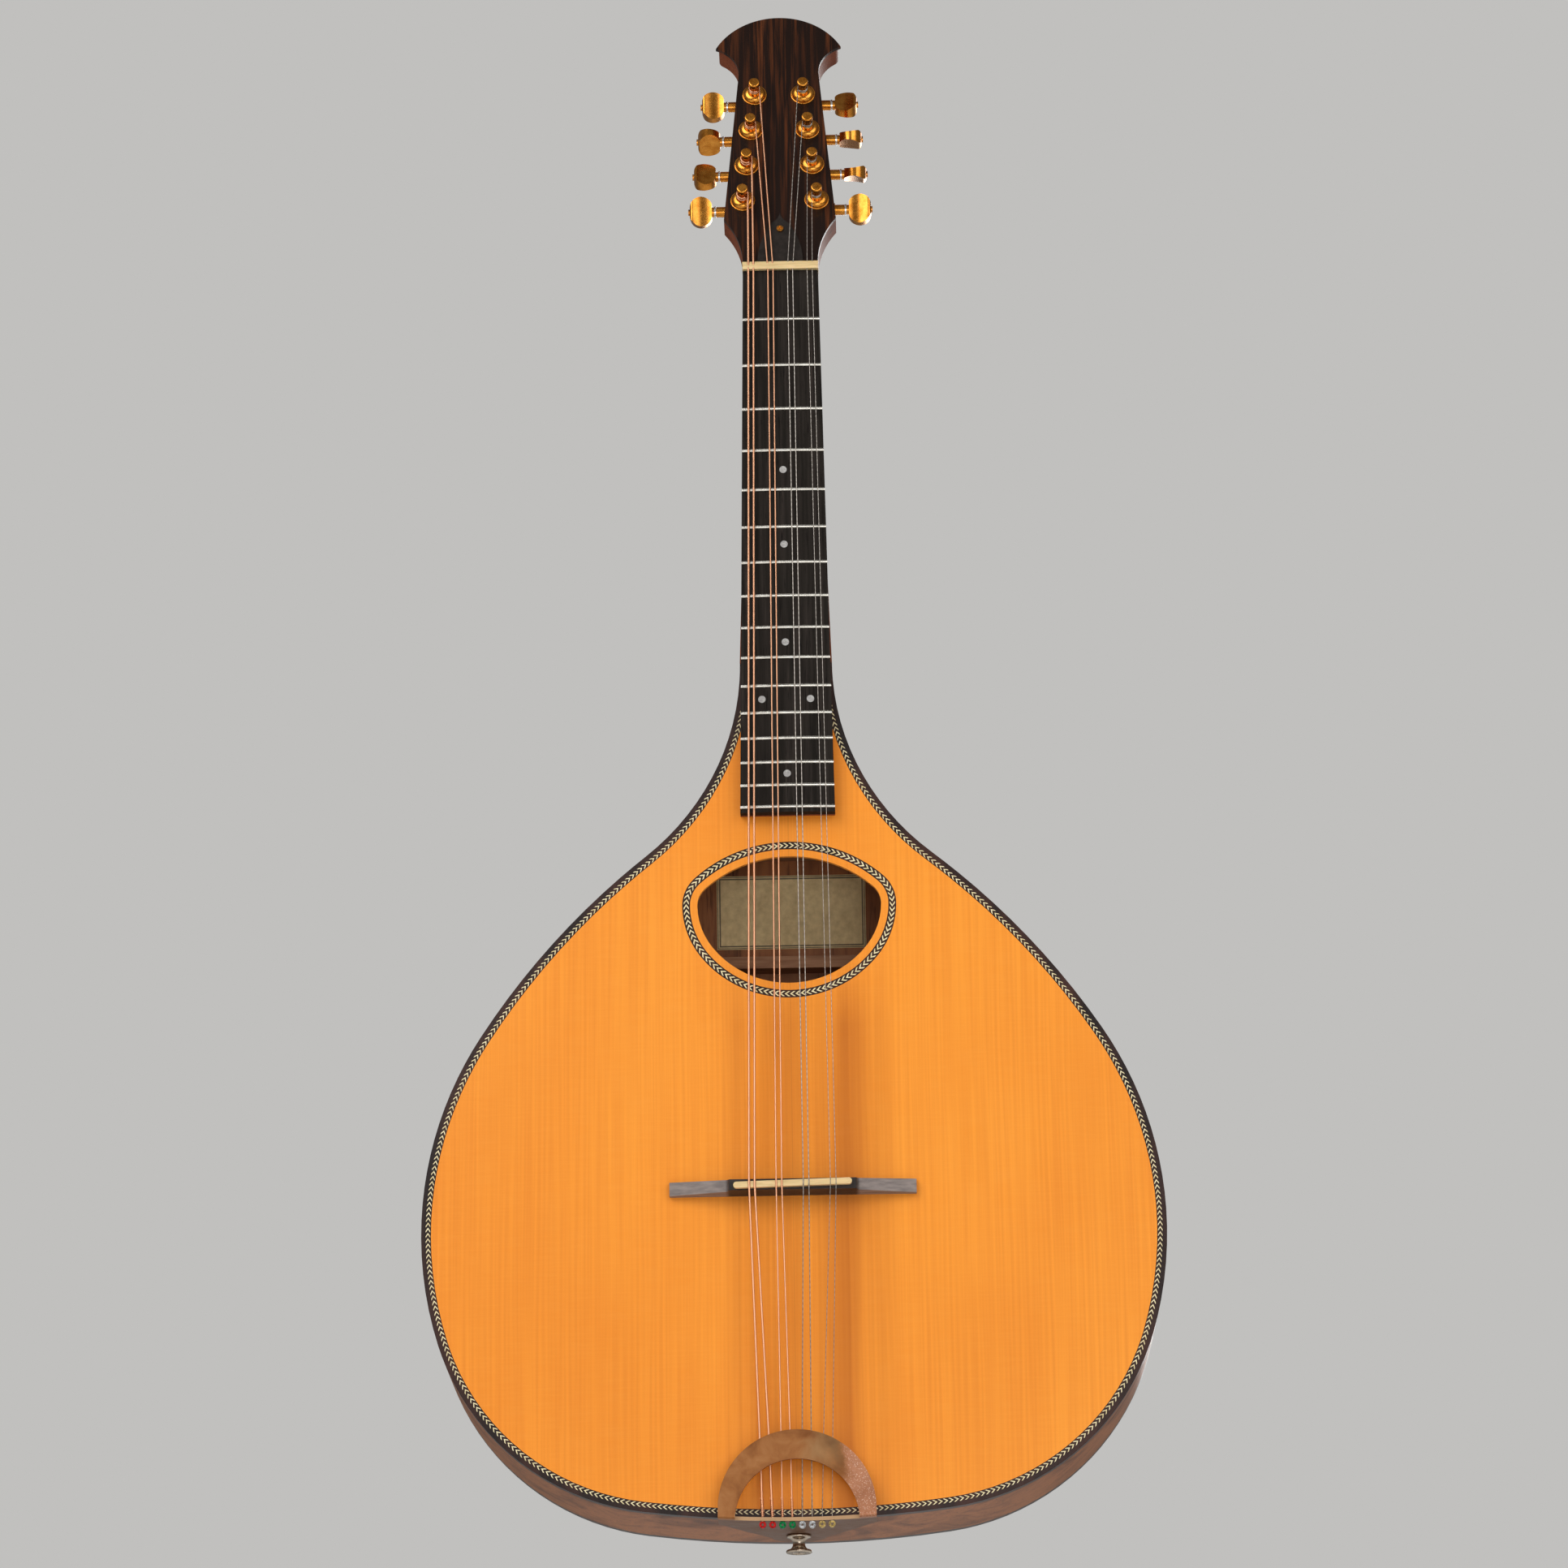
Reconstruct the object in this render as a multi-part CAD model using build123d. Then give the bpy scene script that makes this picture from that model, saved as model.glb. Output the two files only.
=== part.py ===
"""A large-bodied, short-scale Irish-style bouzouki: eight strings in four pairs, a teardrop body
with a cylinder-arched soundboard and a dished back, and eight sealed worm-geared tuners.

Frame: +Z runs up the neck to the headstock, the soundboard faces -Y, +X is the treble side.
The origin is the centre of the strap button's flat end. Millimetres.
"""

import os
from math import asin, atan2, cos, degrees, hypot, pi, radians, sin, sqrt, tan

from build123d import *

# ---- Driving sizes -------------------------------------------------------------------------
SCALE_LENGTH = 540.0          # nut to the uncompensated saddle line
FRET_COUNT = 16
BODY_WIDTH = 413.5
NECK_LENGTH = 238.0           # nut to the body's upper end
HEEL_WIDTH = 52.6             # body and heel where they meet
TAIL_DEPTH = 84.0             # soundboard to back at the tail's centre line
TOP_ARCH_DROP = 3.0           # how far the soundboard's long edges fall below its centre line
BACK_RADIUS = 2600.0          # dish of the back

# Radii of the outline's four convex arcs from the tail upward, in half body widths, and their
# sweeps in degrees. A fifth, concave arc runs into the heel and is solved to meet its width.
OUTLINE_RADII = (3.12, 0.6626, 1.0, 2.07)
OUTLINE_SWEEPS = (7.5, 64.8, 50.4, 18.7)

TOP_THICKNESS = 2.8
BACK_THICKNESS = 2.6
RIB_THICKNESS = 2.2
BINDING_WIDTH = 2.1
BINDING_HEIGHT = 6.0
PURFLING_WIDTH = 3.4
PURFLING_DEPTH = 1.2
LINING_WIDTH = 6.0
LINING_HEIGHT = 14.0
NECK_BLOCK_LENGTH = 55.0
TAIL_BLOCK_LENGTH = 20.0
TAIL_BLOCK_WIDTH = 84.0

SOUNDHOLE_HALF_WIDTH = 51.8
SOUNDHOLE_UP = 28.0           # from the widest line to the end nearer the neck
SOUNDHOLE_DOWN = 46.0         # and to the end nearer the bridge
SOUNDHOLE_UP_SWEEP = 42.0     # degrees of the flat arc at each end, either side of the centre
SOUNDHOLE_DOWN_SWEEP = 52.0
SOUNDHOLE_FROM_NUT = 380.5
ROSETTE_GAP = 4.1
ROSETTE_WIDTH = 4.4

BRACE_WIDTH = 7.0
TOP_BRACE_HEIGHT = 11.0
TONE_BAR_HEIGHT = 9.0
TONE_BAR_TIP_HEIGHT = 3.0
TONE_BAR_TAPER = 0.3          # share of the bar that slopes down to its tip
BACK_BRACE_HEIGHT = 13.0
BRACE_GAP = 0.5               # between a brace's end and the linings
TOP_CROSS_BRACES = (340.0, 442.0)                # from the nut
TONE_BAR_END = 690.0
TONE_BAR_SPREAD = (22.0, 58.0)                   # x at the upper and lower end
BACK_BRACES = (330.0, 396.0, 480.0, 575.0, 660.0)
LABEL_WIDTH = 86.0
LABEL_HEIGHT = 43.0
LABEL_FROM_NUT = 363.5
LABEL_THICKNESS = 0.25

FINGERBOARD_THICKNESS = 6.5
FINGERBOARD_RISER = 2.4       # neck tongue between the soundboard and the fingerboard
FINGERBOARD_RADIUS = 350.0
FINGERBOARD_NUT_WIDTH = 43.8
FINGERBOARD_END_WIDTH = 53.6
FINGERBOARD_OVERHANG = 3.2    # past the last fret
FRET_WIDTH = 2.2
FRET_HEIGHT = 1.0
FRET_TANG = 0.6
FRET_TANG_DEPTH = 2.0
FRET_SLOT_DIP = 0.7           # extra depth that lets the slot's floor clear the board's crown
DOT_RADIUS = 2.1
DOT_THICKNESS = 1.2
SINGLE_DOT_FRETS = (5, 7, 10, 15)
DOUBLE_DOT_FRET = 12
DOUBLE_DOT_OFFSET = 13.8

NUT_THICKNESS = 5.3
NUT_RISE = 2.4                # nut top above the fingerboard's crown
NUT_BACK_SLOPE = 28.0         # degrees
NUT_CORNER = 1.2
NECK_DEPTH_AT_NUT = 15.0      # wood behind the fingerboard
NECK_DEPTH_AT_HEEL = 18.0
HEEL_START = 0.80             # share of the neck that is a plain straight shaft
HEEL_STATIONS = 6
HEEL_ABOVE_BACK = 3.0
SHAFT_SQUARENESS = 2.15       # 2 is an ellipse, more is squarer
HEEL_SQUARENESS = 2.8
SECTION_POINTS = 13
TRUSS_ROD_RADIUS = 2.5
TRUSS_CHANNEL_WIDTH = 6.0
TRUSS_CHANNEL_DEPTH = 9.0
TRUSS_NUT_RADIUS = 3.6
TRUSS_NUT_LENGTH = 7.0
ROD_POCKET_HALF = 5.0
ROD_POCKET_LENGTH = 20.0
ROD_POCKET_DEPTH = 11.0

HEAD_ANGLE = 13.0
HEAD_WOOD = 13.0
HEADPLATE_THICKNESS = 2.2
HEADPLATE_DROP = 3.0          # headplate face below the fingerboard's crown, behind the nut
HEAD_LENGTH = 179.4
HEAD_CREST_HALF_WIDTH = 37.3
HEAD_CREST_HEIGHT = 22.4
EAR_TIP_RADIUS = 4.0          # of the wood under the headplate's two sharp tips
HEAD_WAIST_HALF_WIDTH = 23.7
HEAD_WAIST_FROM_NUT = 138.0
HEAD_LOWER_HALF_WIDTH = 32.8
HEAD_LOWER_FROM_NUT = 32.0
COVER_HALF_WIDTH = 13.2
COVER_TIP = 35.0
COVER_START = 0.4             # gap between the truss rod's cover and the nut
COVER_THICKNESS = 1.8
COVER_SCREW = 23.4            # from the nut
COVER_SCREW_HEAD = 2.0
COVER_SCREW_LENGTH = 9.0
SMALL_SCREW_RADIUS = 0.9

BRIDGE_LENGTH = 137.0
BRIDGE_WIDTH = 7.8
BRIDGE_TOP_WIDTH = 6.0
BRIDGE_HEIGHT = 12.4
BRIDGE_WING_TIP = 3.0
BRIDGE_WING_ROOT = 9.6
BRIDGE_CROWN_HALF = 35.0
SADDLE_LENGTH = 65.6
SADDLE_WIDTH = 3.5
SADDLE_RISE = 2.9
SADDLE_DEPTH = 5.0
SADDLE_COMPENSATION = 4.6     # beyond the scale length, at the centre
SADDLE_SLANT = 1.3            # degrees, bass side further from the nut
CROWN_STEP = 1.5              # run of the slope between each wing and the bridge's crown

COURSE_SPACING_NUT = 11.4
COURSE_SPACING_SADDLE = 15.0
PAIR_SPACING_NUT = 3.0
PAIR_SPACING_SADDLE = 3.1
TAIL_SPACING = 5.4            # between neighbouring holes in the tailpiece
COURSES = (("low_g", 1.22), ("d", 0.90), ("a", 0.56), ("high_e", 0.36))   # name, string diameter
NUT_STRING_HEIGHT = 1.3       # string underside above the fingerboard's crown at the nut
FIT = 0.05                    # gap round a screw, a sleeve or a string in its hole
GROOVE_GAP = 0.1              # between a string and its groove in the nut or the saddle
GROOVE_BEND_EASE = 0.03       # more of it where the groove bends
BEND_RADIUS = 2.5             # of a string's bends at the arch, the saddle and the nut
WIND_GAP = 0.2                # between the still turn of string and the turning post
WIND_SWEEP = 300.0            # degrees of string round each post

TAILPIECE_THICKNESS = 2.0
ARCH_OUTER_RADIUS = 43.2
ARCH_INNER_RADIUS = 34.0
ARCH_TOP_WIDTH = 16.1
ARCH_RISE = 4.4               # centre of the arch's curve above the tail
ARCH_HEIGHT = 9.6             # arch underside above the soundboard's edge line at the tail
TAIL_HOLE_RADIUS = 1.1
TAIL_HOLE_HEIGHT = 4.6        # hole centres above the soundboard
FLANGE_DROP = 66.0            # flange's lower end below the soundboard
FLANGE_LOWER_HALF_WIDTH = 15.0
FLANGE_SHOULDER = 9.0         # below the soundboard, where the flange starts to narrow
ARCH_SETBACK = 0.7            # brass of the arch that lies below its underside line
BAR_ABOVE_HOLES = 2.6
BALL_RADIUS = 1.9
BALL_LENGTH = 3.2
BALL_HOLE_RADIUS = 0.7

STRAP_BUTTON_LENGTH = 10.0
STRAP_BUTTON_RADIUS = 7.2
STRAP_BUTTON_WAIST_RADIUS = 3.4
STRAP_BUTTON_SINK = 4.0       # countersink for its screw
STRAP_SCREW_RADIUS = 1.9
STRAP_SCREW_DEPTH = 20.0      # into the tail

TUNER_SPACING = 25.6
TUNER_FIRST_FROM_NUT = 45.3   # lowest post's axis, along the headplate
TUNER_LOWEST_X = 21.7
TUNER_HIGHEST_X = 14.35
WORM_OFFSET = 8.1             # worm shaft's axis from the post's axis, towards the head's crest
GEAR_TEETH = 14
GEAR_PITCH_RADIUS = 5.6
GEAR_THICKNESS = 3.0
WORM_THREAD_HEIGHT = 0.7
TOOTH_WIDTH = 0.85            # thread and tooth, at the pitch line
TOOTH_ANGLE = 20.0
MESH_GAP = 0.12
POST_RADIUS = 3.0
POST_WAIST_RADIUS = 2.3
POST_CAP_RADIUS = 3.3
POST_TOP = 13.2               # above the headplate
BUSHING_BORE_GAP = 0.06
BUTTON_FROM_POST = 25.3
BUTTON_HALF_LENGTH = 6.5
BUTTON_HALF_HEIGHT = 9.0
BUTTON_COLLAR = 1.5           # length of the round neck on the button's inner end
BUTTON_COLLAR_RADIUS = 2.9
BUTTON_BORE_DEPTH = 9.5       # of the shaft's socket, from the button's inner end
BUTTON_WASHER_RADIUS = 3.4
BUTTON_SCREW_RADIUS = 0.8
BUTTON_SCREW_HEAD = 1.9
GEAR_BORE = 2.0
STRING_HOLE_HEIGHT = 7.2      # above the headplate
STRING_HOLE_RADIUS = 0.8
WAIST_START = 5.2             # of the post's waist, above the headplate
WAIST_END = 9.6
BUSHING_RADIUS = 4.4
BUSHING_DEPTH = 9.0           # into the headstock
BUSHING_RISE = 3.4            # above the headplate
BUSHING_RIM = 6.6
BUSHING_WASHER_RADIUS = 7.3
BUSHING_WASHER_THICKNESS = 0.8
BASE_PLATE_THICKNESS = 1.2
CASE_CORNER = 2.5
CASE_EDGE = 1.6
CASE_WALL = 0.9
CASE_ROOM_GAP = 0.4           # between the gears and the walls of their rooms
GEAR_BELOW_PLATE = 5.6        # gear's middle from the base plate
GEAR_ROOM_DEPTH = 4.2         # below the gear's middle
CASE_DEPTH = 6.0              # the same, to the case's outside
CASE_X = (-8.8, 9.0)
BOSS_RADIUS = 3.1
BOSS_END = 16.3
BOSS_ROOT_RADIUS = 4.0
BOSS_ROOT_LENGTH = 1.6
WORM_HALF = 5.6
SHAFT_RADIUS = 1.9
SHAFT_TAIL_RADIUS = 1.4
SHAFT_TAIL_LENGTH = 2.0
SHAFT_IN_BUTTON = 3.0         # past the button's middle
RUNNING = 0.05                # running gap of the tuners' shafts
MOUNT_SCREW_HEAD = 1.9
MOUNT_SCREW_LENGTH = 6.5
EAR_RADIUS = 2.4
# How each button stands at rest: turn in degrees about its shaft, from flat to the headstock.
BUTTON_TURNS = {"bass": (20.0, -13.0, 83.0, 8.0), "treble": (15.0, 115.0, 109.0, -17.0)}

# ---- Places worked out from the sizes --------------------------------------------------------
HALF_WIDTH = BODY_WIDTH / 2
HEEL_HALF = HEEL_WIDTH / 2


def widest_share():
    """The outline's greatest x, in units of the radii, before they are scaled."""
    first = radians(OUTLINE_SWEEPS[0])
    second = first + radians(OUTLINE_SWEEPS[1])
    return (
        OUTLINE_RADII[0] * sin(first)
        + OUTLINE_RADII[1] * (sin(second) - sin(first))
        + OUTLINE_RADII[2] * (1 - sin(second))
    )


def outline_arcs():
    """The right half's arcs from the tail up: (radius, start heading, sweep).

    A negative radius is concave.
    """
    scale = HALF_WIDTH / widest_share()
    arcs = []
    x = 0.0
    heading = 0.0
    for share, sweep in zip(OUTLINE_RADII, OUTLINE_SWEEPS):
        turn = radians(sweep)
        radius = share * scale
        x += radius * (sin(heading + turn) - sin(heading))
        arcs.append((radius, heading, turn))
        heading += turn
    lean = heading - pi / 2
    arcs.append((-(x - HEEL_HALF) / (1 - cos(lean)), heading, -lean))
    return arcs


def outline_rise():
    """Body length from the tail to the heel line."""
    return sum(r * (cos(h) - cos(h + turn)) for r, h, turn in outline_arcs())


Z_TAIL = STRAP_BUTTON_LENGTH + TAILPIECE_THICKNESS
Z_JOIN = Z_TAIL + outline_rise()
Z_NUT = Z_JOIN + NECK_LENGTH
Y_TOP = -TAIL_DEPTH / 2                               # soundboard's centre line
Y_BOARD = Y_TOP - FINGERBOARD_RISER - FINGERBOARD_THICKNESS   # fingerboard's crown line
TOP_RADIUS = (HALF_WIDTH**2 + TOP_ARCH_DROP**2) / (2 * TOP_ARCH_DROP)
Z_WIDEST = Z_TAIL + sum(
    r * (cos(h) - cos(min(h + turn, pi / 2))) for r, h, turn in outline_arcs()[:3]
)
# The back is part of a ball whose deepest point lies behind the body's widest line.
BACK_CREST = Y_TOP + TAIL_DEPTH + (Z_WIDEST - Z_TAIL) ** 2 / (2 * BACK_RADIUS)
FRET_LINES = [SCALE_LENGTH * (1 - 2 ** (-n / 12)) for n in range(1, FRET_COUNT + 1)]
FINGERBOARD_LENGTH = FRET_LINES[-1] + FINGERBOARD_OVERHANG
Z_SADDLE = Z_NUT - SCALE_LENGTH - SADDLE_COMPENSATION
Z_HOLE = Z_NUT - SOUNDHOLE_FROM_NUT
SADDLE_TOP = Y_TOP - BRIDGE_HEIGHT - SADDLE_RISE
STRING_COUNT = 2 * len(COURSES)
STRING_DIAMETERS = [d for _, d in COURSES for _ in range(2)]
FAR = 120.0                                           # reach of cutting blocks past the model


def side_signs(count):
    """Evenly spaced places about zero, one apart."""
    return [i - (count - 1) / 2 for i in range(count)]


def string_x(course_spacing, pair_spacing):
    return [
        c * course_spacing + p * pair_spacing for c in side_signs(len(COURSES)) for p in side_signs(2)
    ]


NUT_X = string_x(COURSE_SPACING_NUT, PAIR_SPACING_NUT)
SADDLE_X = string_x(COURSE_SPACING_SADDLE, PAIR_SPACING_SADDLE)
TAIL_X = [i * TAIL_SPACING for i in side_signs(STRING_COUNT)]


def back_y(z):
    """The back's outer face on the centre line."""
    return BACK_CREST - (z - Z_WIDEST) ** 2 / (2 * BACK_RADIUS)


# ---- Helpers ----------------------------------------------------------------------------------
def block(x0, x1, y0, y1, z0, z1):
    size = (x1 - x0, y1 - y0, z1 - z0)
    return Pos((x0 + x1) / 2, (y0 + y1) / 2, (z0 + z1) / 2) * Box(*size)


def rod(start, end, radius):
    """A cylinder from one point to another."""
    path = Vector(*end) - Vector(*start)
    return Plane(origin=start, z_dir=path) * Cylinder(
        radius, path.length, align=(Align.CENTER, Align.CENTER, Align.MIN)
    )


def outline_prism(inset):
    """The body's plan, inset from its outer edge, through its whole depth and beyond."""
    right = []
    x, z = 0.0, Z_TAIL + inset
    for radius, heading, turn in outline_arcs():
        r = radius - inset
        cx, cz = x - r * sin(heading), z + r * cos(heading)
        points = [
            (cx + r * sin(heading + t * turn), cz - r * cos(heading + t * turn)) for t in (0.5, 1.0)
        ]
        right.append([(x, z), *points])
        x, z = points[-1]
    edges = [Edge.make_three_point_arc(*[(a, -FAR, b) for a, b in arc]) for arc in right]
    edges += [Edge.make_three_point_arc(*[(-a, -FAR, b) for a, b in arc]) for arc in right]
    edges.append(Edge.make_line((x, -FAR, z), (-x, -FAR, z)))
    return extrude(Face(Wire(edges)), amount=2 * FAR, dir=(0, 1, 0))


def behind_top(depth):
    """Everything behind the surface that lies this deep under the soundboard's face."""
    radius = TOP_RADIUS - depth
    reach = HALF_WIDTH + 10
    fall = radius - sqrt(radius**2 - reach**2)
    y = Y_TOP + depth
    face = Face(
        Wire(
            [
                Edge.make_three_point_arc((-reach, y + fall, 0), (0, y, 0), (reach, y + fall, 0)),
                Edge.make_line((reach, y + fall, 0), (reach, FAR, 0)),
                Edge.make_line((reach, FAR, 0), (-reach, FAR, 0)),
                Edge.make_line((-reach, FAR, 0), (-reach, y + fall, 0)),
            ]
        )
    )
    return extrude(face, amount=Z_NUT, dir=(0, 0, 1))


def before_back(depth):
    """Everything in front of the surface that lies this deep under the back's outer face."""
    ball = Pos(0, BACK_CREST - BACK_RADIUS, Z_WIDEST) * Sphere(BACK_RADIUS - depth)
    return ball & block(-HALF_WIDTH - 10, HALF_WIDTH + 10, -FAR, FAR, -10, Z_NUT)


def quarter_oval(half, height, flat_sweep):
    """Two tangent arcs from an oval's flat end to its side: their radii."""
    s, c = sin(radians(flat_sweep)), cos(radians(flat_sweep))
    # half = R*s + r*(1-s); height = R*(1-c) + r*c
    determinant = s * c - (1 - s) * (1 - c)
    big = (half * c - height * (1 - s)) / determinant
    small = (s * height - (1 - c) * half) / determinant
    return big, small


def soundhole_prism(grow):
    """The oval soundhole grown outward: flatter towards the neck, longer towards the bridge."""
    edges = []
    for side in (-1, 1):
        for up, height, sweep in (
            (1, SOUNDHOLE_UP, SOUNDHOLE_UP_SWEEP),
            (-1, SOUNDHOLE_DOWN, SOUNDHOLE_DOWN_SWEEP),
        ):
            big, small = quarter_oval(SOUNDHOLE_HALF_WIDTH, height, sweep)
            big, small = big + grow, small + grow
            top = height + grow
            a = radians(sweep)

            def on(radius, cx, cz, angle):
                return (side * (cx + radius * sin(angle)), -FAR, Z_HOLE + up * (cz + radius * cos(angle)))

            big_cz = top - big
            small_cx = (big - small) * sin(a)
            small_cz = big_cz + (big - small) * cos(a)
            edges.append(
                Edge.make_three_point_arc(*[on(big, 0, big_cz, t) for t in (0, a / 2, a)])
            )
            middle = (a + pi / 2) / 2
            edges.append(
                Edge.make_three_point_arc(
                    *[on(small, small_cx, small_cz, t) for t in (a, middle, pi / 2)]
                )
            )
    return extrude(Face(Wire(edges)), amount=2 * FAR, dir=(0, 1, 0))


def board_half_width(from_nut):
    share = from_nut / FINGERBOARD_LENGTH
    return (FINGERBOARD_NUT_WIDTH + share * (FINGERBOARD_END_WIDTH - FINGERBOARD_NUT_WIDTH)) / 2


HEAD = Plane(
    origin=(0, Y_BOARD + HEADPLATE_DROP, Z_NUT + NUT_THICKNESS),
    x_dir=(1, 0, 0),
    z_dir=(0, -cos(radians(HEAD_ANGLE)), sin(radians(HEAD_ANGLE))),
)


def head_point(x, along, out):
    """A point given on the headplate: across, from the nut towards the crest, and out of its face."""
    return HEAD.from_local_coords((x, along, out))


def tuner_places():
    """Post centres on the headplate for one side, from the nut upward: (x, along)."""
    step = (TUNER_LOWEST_X - TUNER_HIGHEST_X) / 3
    return [(TUNER_LOWEST_X - i * step, TUNER_FIRST_FROM_NUT + i * TUNER_SPACING) for i in range(4)]


def both_sides(build):
    """One solid on each tuner place of the treble side, and its mirror image on the bass side."""
    made = []
    for x, along in tuner_places():
        solid = HEAD * (Pos(x, along, 0) * build())
        made += [solid, mirror(solid, Plane.YZ)]
    return made


# ---- The body -----------------------------------------------------------------------------------
PLAN = {}


def plan(inset):
    if inset not in PLAN:
        PLAN[inset] = outline_prism(inset)
    return PLAN[inset]


PURFLING_INSET = BINDING_WIDTH + PURFLING_WIDTH
LINING_INSET = RIB_THICKNESS + LINING_WIDTH


def soundboard():
    sheet = (plan(BINDING_WIDTH) & behind_top(0)) - behind_top(TOP_THICKNESS)
    channel = (plan(BINDING_WIDTH) - plan(PURFLING_INSET)) - behind_top(PURFLING_DEPTH)
    ring = soundhole_prism(ROSETTE_GAP + ROSETTE_WIDTH) - soundhole_prism(ROSETTE_GAP)
    ring -= behind_top(PURFLING_DEPTH)
    return sheet - channel - ring - soundhole_prism(0)


def top_purfling():
    band = plan(BINDING_WIDTH) - plan(PURFLING_INSET)
    return (band & behind_top(0)) - behind_top(PURFLING_DEPTH)


def soundhole_rosette():
    ring = soundhole_prism(ROSETTE_GAP + ROSETTE_WIDTH) - soundhole_prism(ROSETTE_GAP)
    return (ring & behind_top(0)) - behind_top(PURFLING_DEPTH)


def top_binding():
    band = plan(0) - plan(BINDING_WIDTH)
    return (band & behind_top(0)) - behind_top(BINDING_HEIGHT)


def back_binding():
    band = plan(0) - plan(BINDING_WIDTH)
    return (band & before_back(0)) - before_back(BINDING_HEIGHT)


def back():
    return (plan(BINDING_WIDTH) & before_back(0)) - before_back(BACK_THICKNESS)


def rib(side):
    """One bent side. It fills the width of the binding ledges between the two bindings."""
    band = plan(0) - plan(BINDING_WIDTH)
    between = band & behind_top(BINDING_HEIGHT) & before_back(BINDING_HEIGHT)
    reach = HALF_WIDTH + 10
    half = (0, reach) if side > 0 else (-reach, 0)
    bent = between & block(*half, -FAR, FAR, -10, Z_NUT)
    hole_end = Z_TAIL + RIB_THICKNESS + 1
    return bent - rod((0, 0, Z_TAIL - 1), (0, 0, hole_end), STRAP_SCREW_RADIUS + FIT)


def cavity(inset):
    """The room between soundboard and back, inside the ribs."""
    return plan(inset) & behind_top(TOP_THICKNESS) & before_back(BACK_THICKNESS)


def neck_block():
    room = block(-FAR, FAR, -FAR, FAR, Z_JOIN - NECK_BLOCK_LENGTH, Z_JOIN)
    return cavity(BINDING_WIDTH) & room


def tail_block():
    half = TAIL_BLOCK_WIDTH / 2
    room = block(-half, half, -FAR, FAR, 0, Z_TAIL + RIB_THICKNESS + TAIL_BLOCK_LENGTH)
    pilot = rod((0, 0, Z_TAIL - 1), (0, 0, Z_TAIL + STRAP_SCREW_DEPTH + 3), STRAP_SCREW_RADIUS)
    return (cavity(BINDING_WIDTH) & room) - pilot


def linings():
    """The strips that widen the gluing edge, one under the soundboard and one over the back."""
    half = TAIL_BLOCK_WIDTH / 2
    tail = block(-half, half, -FAR, FAR, 0, Z_TAIL + RIB_THICKNESS + TAIL_BLOCK_LENGTH)
    band = cavity(BINDING_WIDTH) - plan(LINING_INSET)
    band = band - tail - block(-FAR, FAR, -FAR, FAR, Z_JOIN - NECK_BLOCK_LENGTH, Z_JOIN)
    front = band - behind_top(TOP_THICKNESS + LINING_HEIGHT)
    rear = band - before_back(BACK_THICKNESS + LINING_HEIGHT)
    return [*front.solids(), *rear.solids()]


def cross_bar(z, inner_y, height, toward_back):
    """A brace across the body at z, standing off the plate whose inner face is near inner_y."""
    half = HALF_WIDTH
    sign = 1 if toward_back else -1
    root = inner_y - sign * 12
    tip = inner_y + sign * height
    low = inner_y + sign * height * 0.4
    run = half / 3
    left = [(-half, root), (-half, low), (-half + run, tip)]
    points = left + [(-x, y) for x, y in reversed(left)]
    face = Face(Wire.make_polygon([(x, y, z - BRACE_WIDTH / 2) for x, y in points]))
    return extrude(face, amount=BRACE_WIDTH, dir=(0, 0, 1))


def top_braces():
    room = cavity(LINING_INSET + BRACE_GAP)
    y = Y_TOP + TOP_THICKNESS
    bars = [cross_bar(Z_NUT - s, y, TOP_BRACE_HEIGHT, True) for s in TOP_CROSS_BRACES]
    z_high = Z_NUT - TOP_CROSS_BRACES[1] - BRACE_WIDTH / 2 - 0.2
    z_low = max(Z_NUT - TONE_BAR_END, Z_TAIL + TAIL_BLOCK_LENGTH + 10)
    for side in (-1, 1):
        x_high, x_low = (side * x for x in TONE_BAR_SPREAD)
        lean = degrees(atan2(x_low - x_high, z_high - z_low))
        length = hypot(x_low - x_high, z_high - z_low)
        half = BRACE_WIDTH / 2
        profile = [
            (y - 5, 0),
            (y + TONE_BAR_HEIGHT, 0),
            (y + TONE_BAR_HEIGHT, -length * (1 - TONE_BAR_TAPER)),
            (y + TONE_BAR_TIP_HEIGHT, -length),
            (y - 5, -length),
        ]
        face = Face(Wire.make_polygon([(-half, a, b) for a, b in profile]))
        bar = extrude(face, amount=BRACE_WIDTH, dir=(1, 0, 0))
        bars.append(Pos(x_high, 0, z_high) * (Rot(0, -lean, 0) * bar))
    bars[2:] = [bar & block(-FAR, FAR, -FAR, FAR, 0, z_high) for bar in bars[2:]]
    return [solid for bar in bars for solid in (bar & room).solids()]


def back_braces():
    room = cavity(LINING_INSET + BRACE_GAP)
    made = []
    for s in BACK_BRACES:
        z = Z_NUT - s
        inner = back_y(z) - BACK_THICKNESS
        bar = cross_bar(z, inner, BACK_BRACE_HEIGHT, False)
        made += (bar & room).solids()
    return made


def label():
    z = Z_NUT - LABEL_FROM_NUT
    half = LABEL_WIDTH / 2
    room = block(-half, half, 0, FAR, z - LABEL_HEIGHT / 2, z + LABEL_HEIGHT / 2)
    return (room & before_back(BACK_THICKNESS)) - before_back(BACK_THICKNESS + LABEL_THICKNESS)


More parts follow.
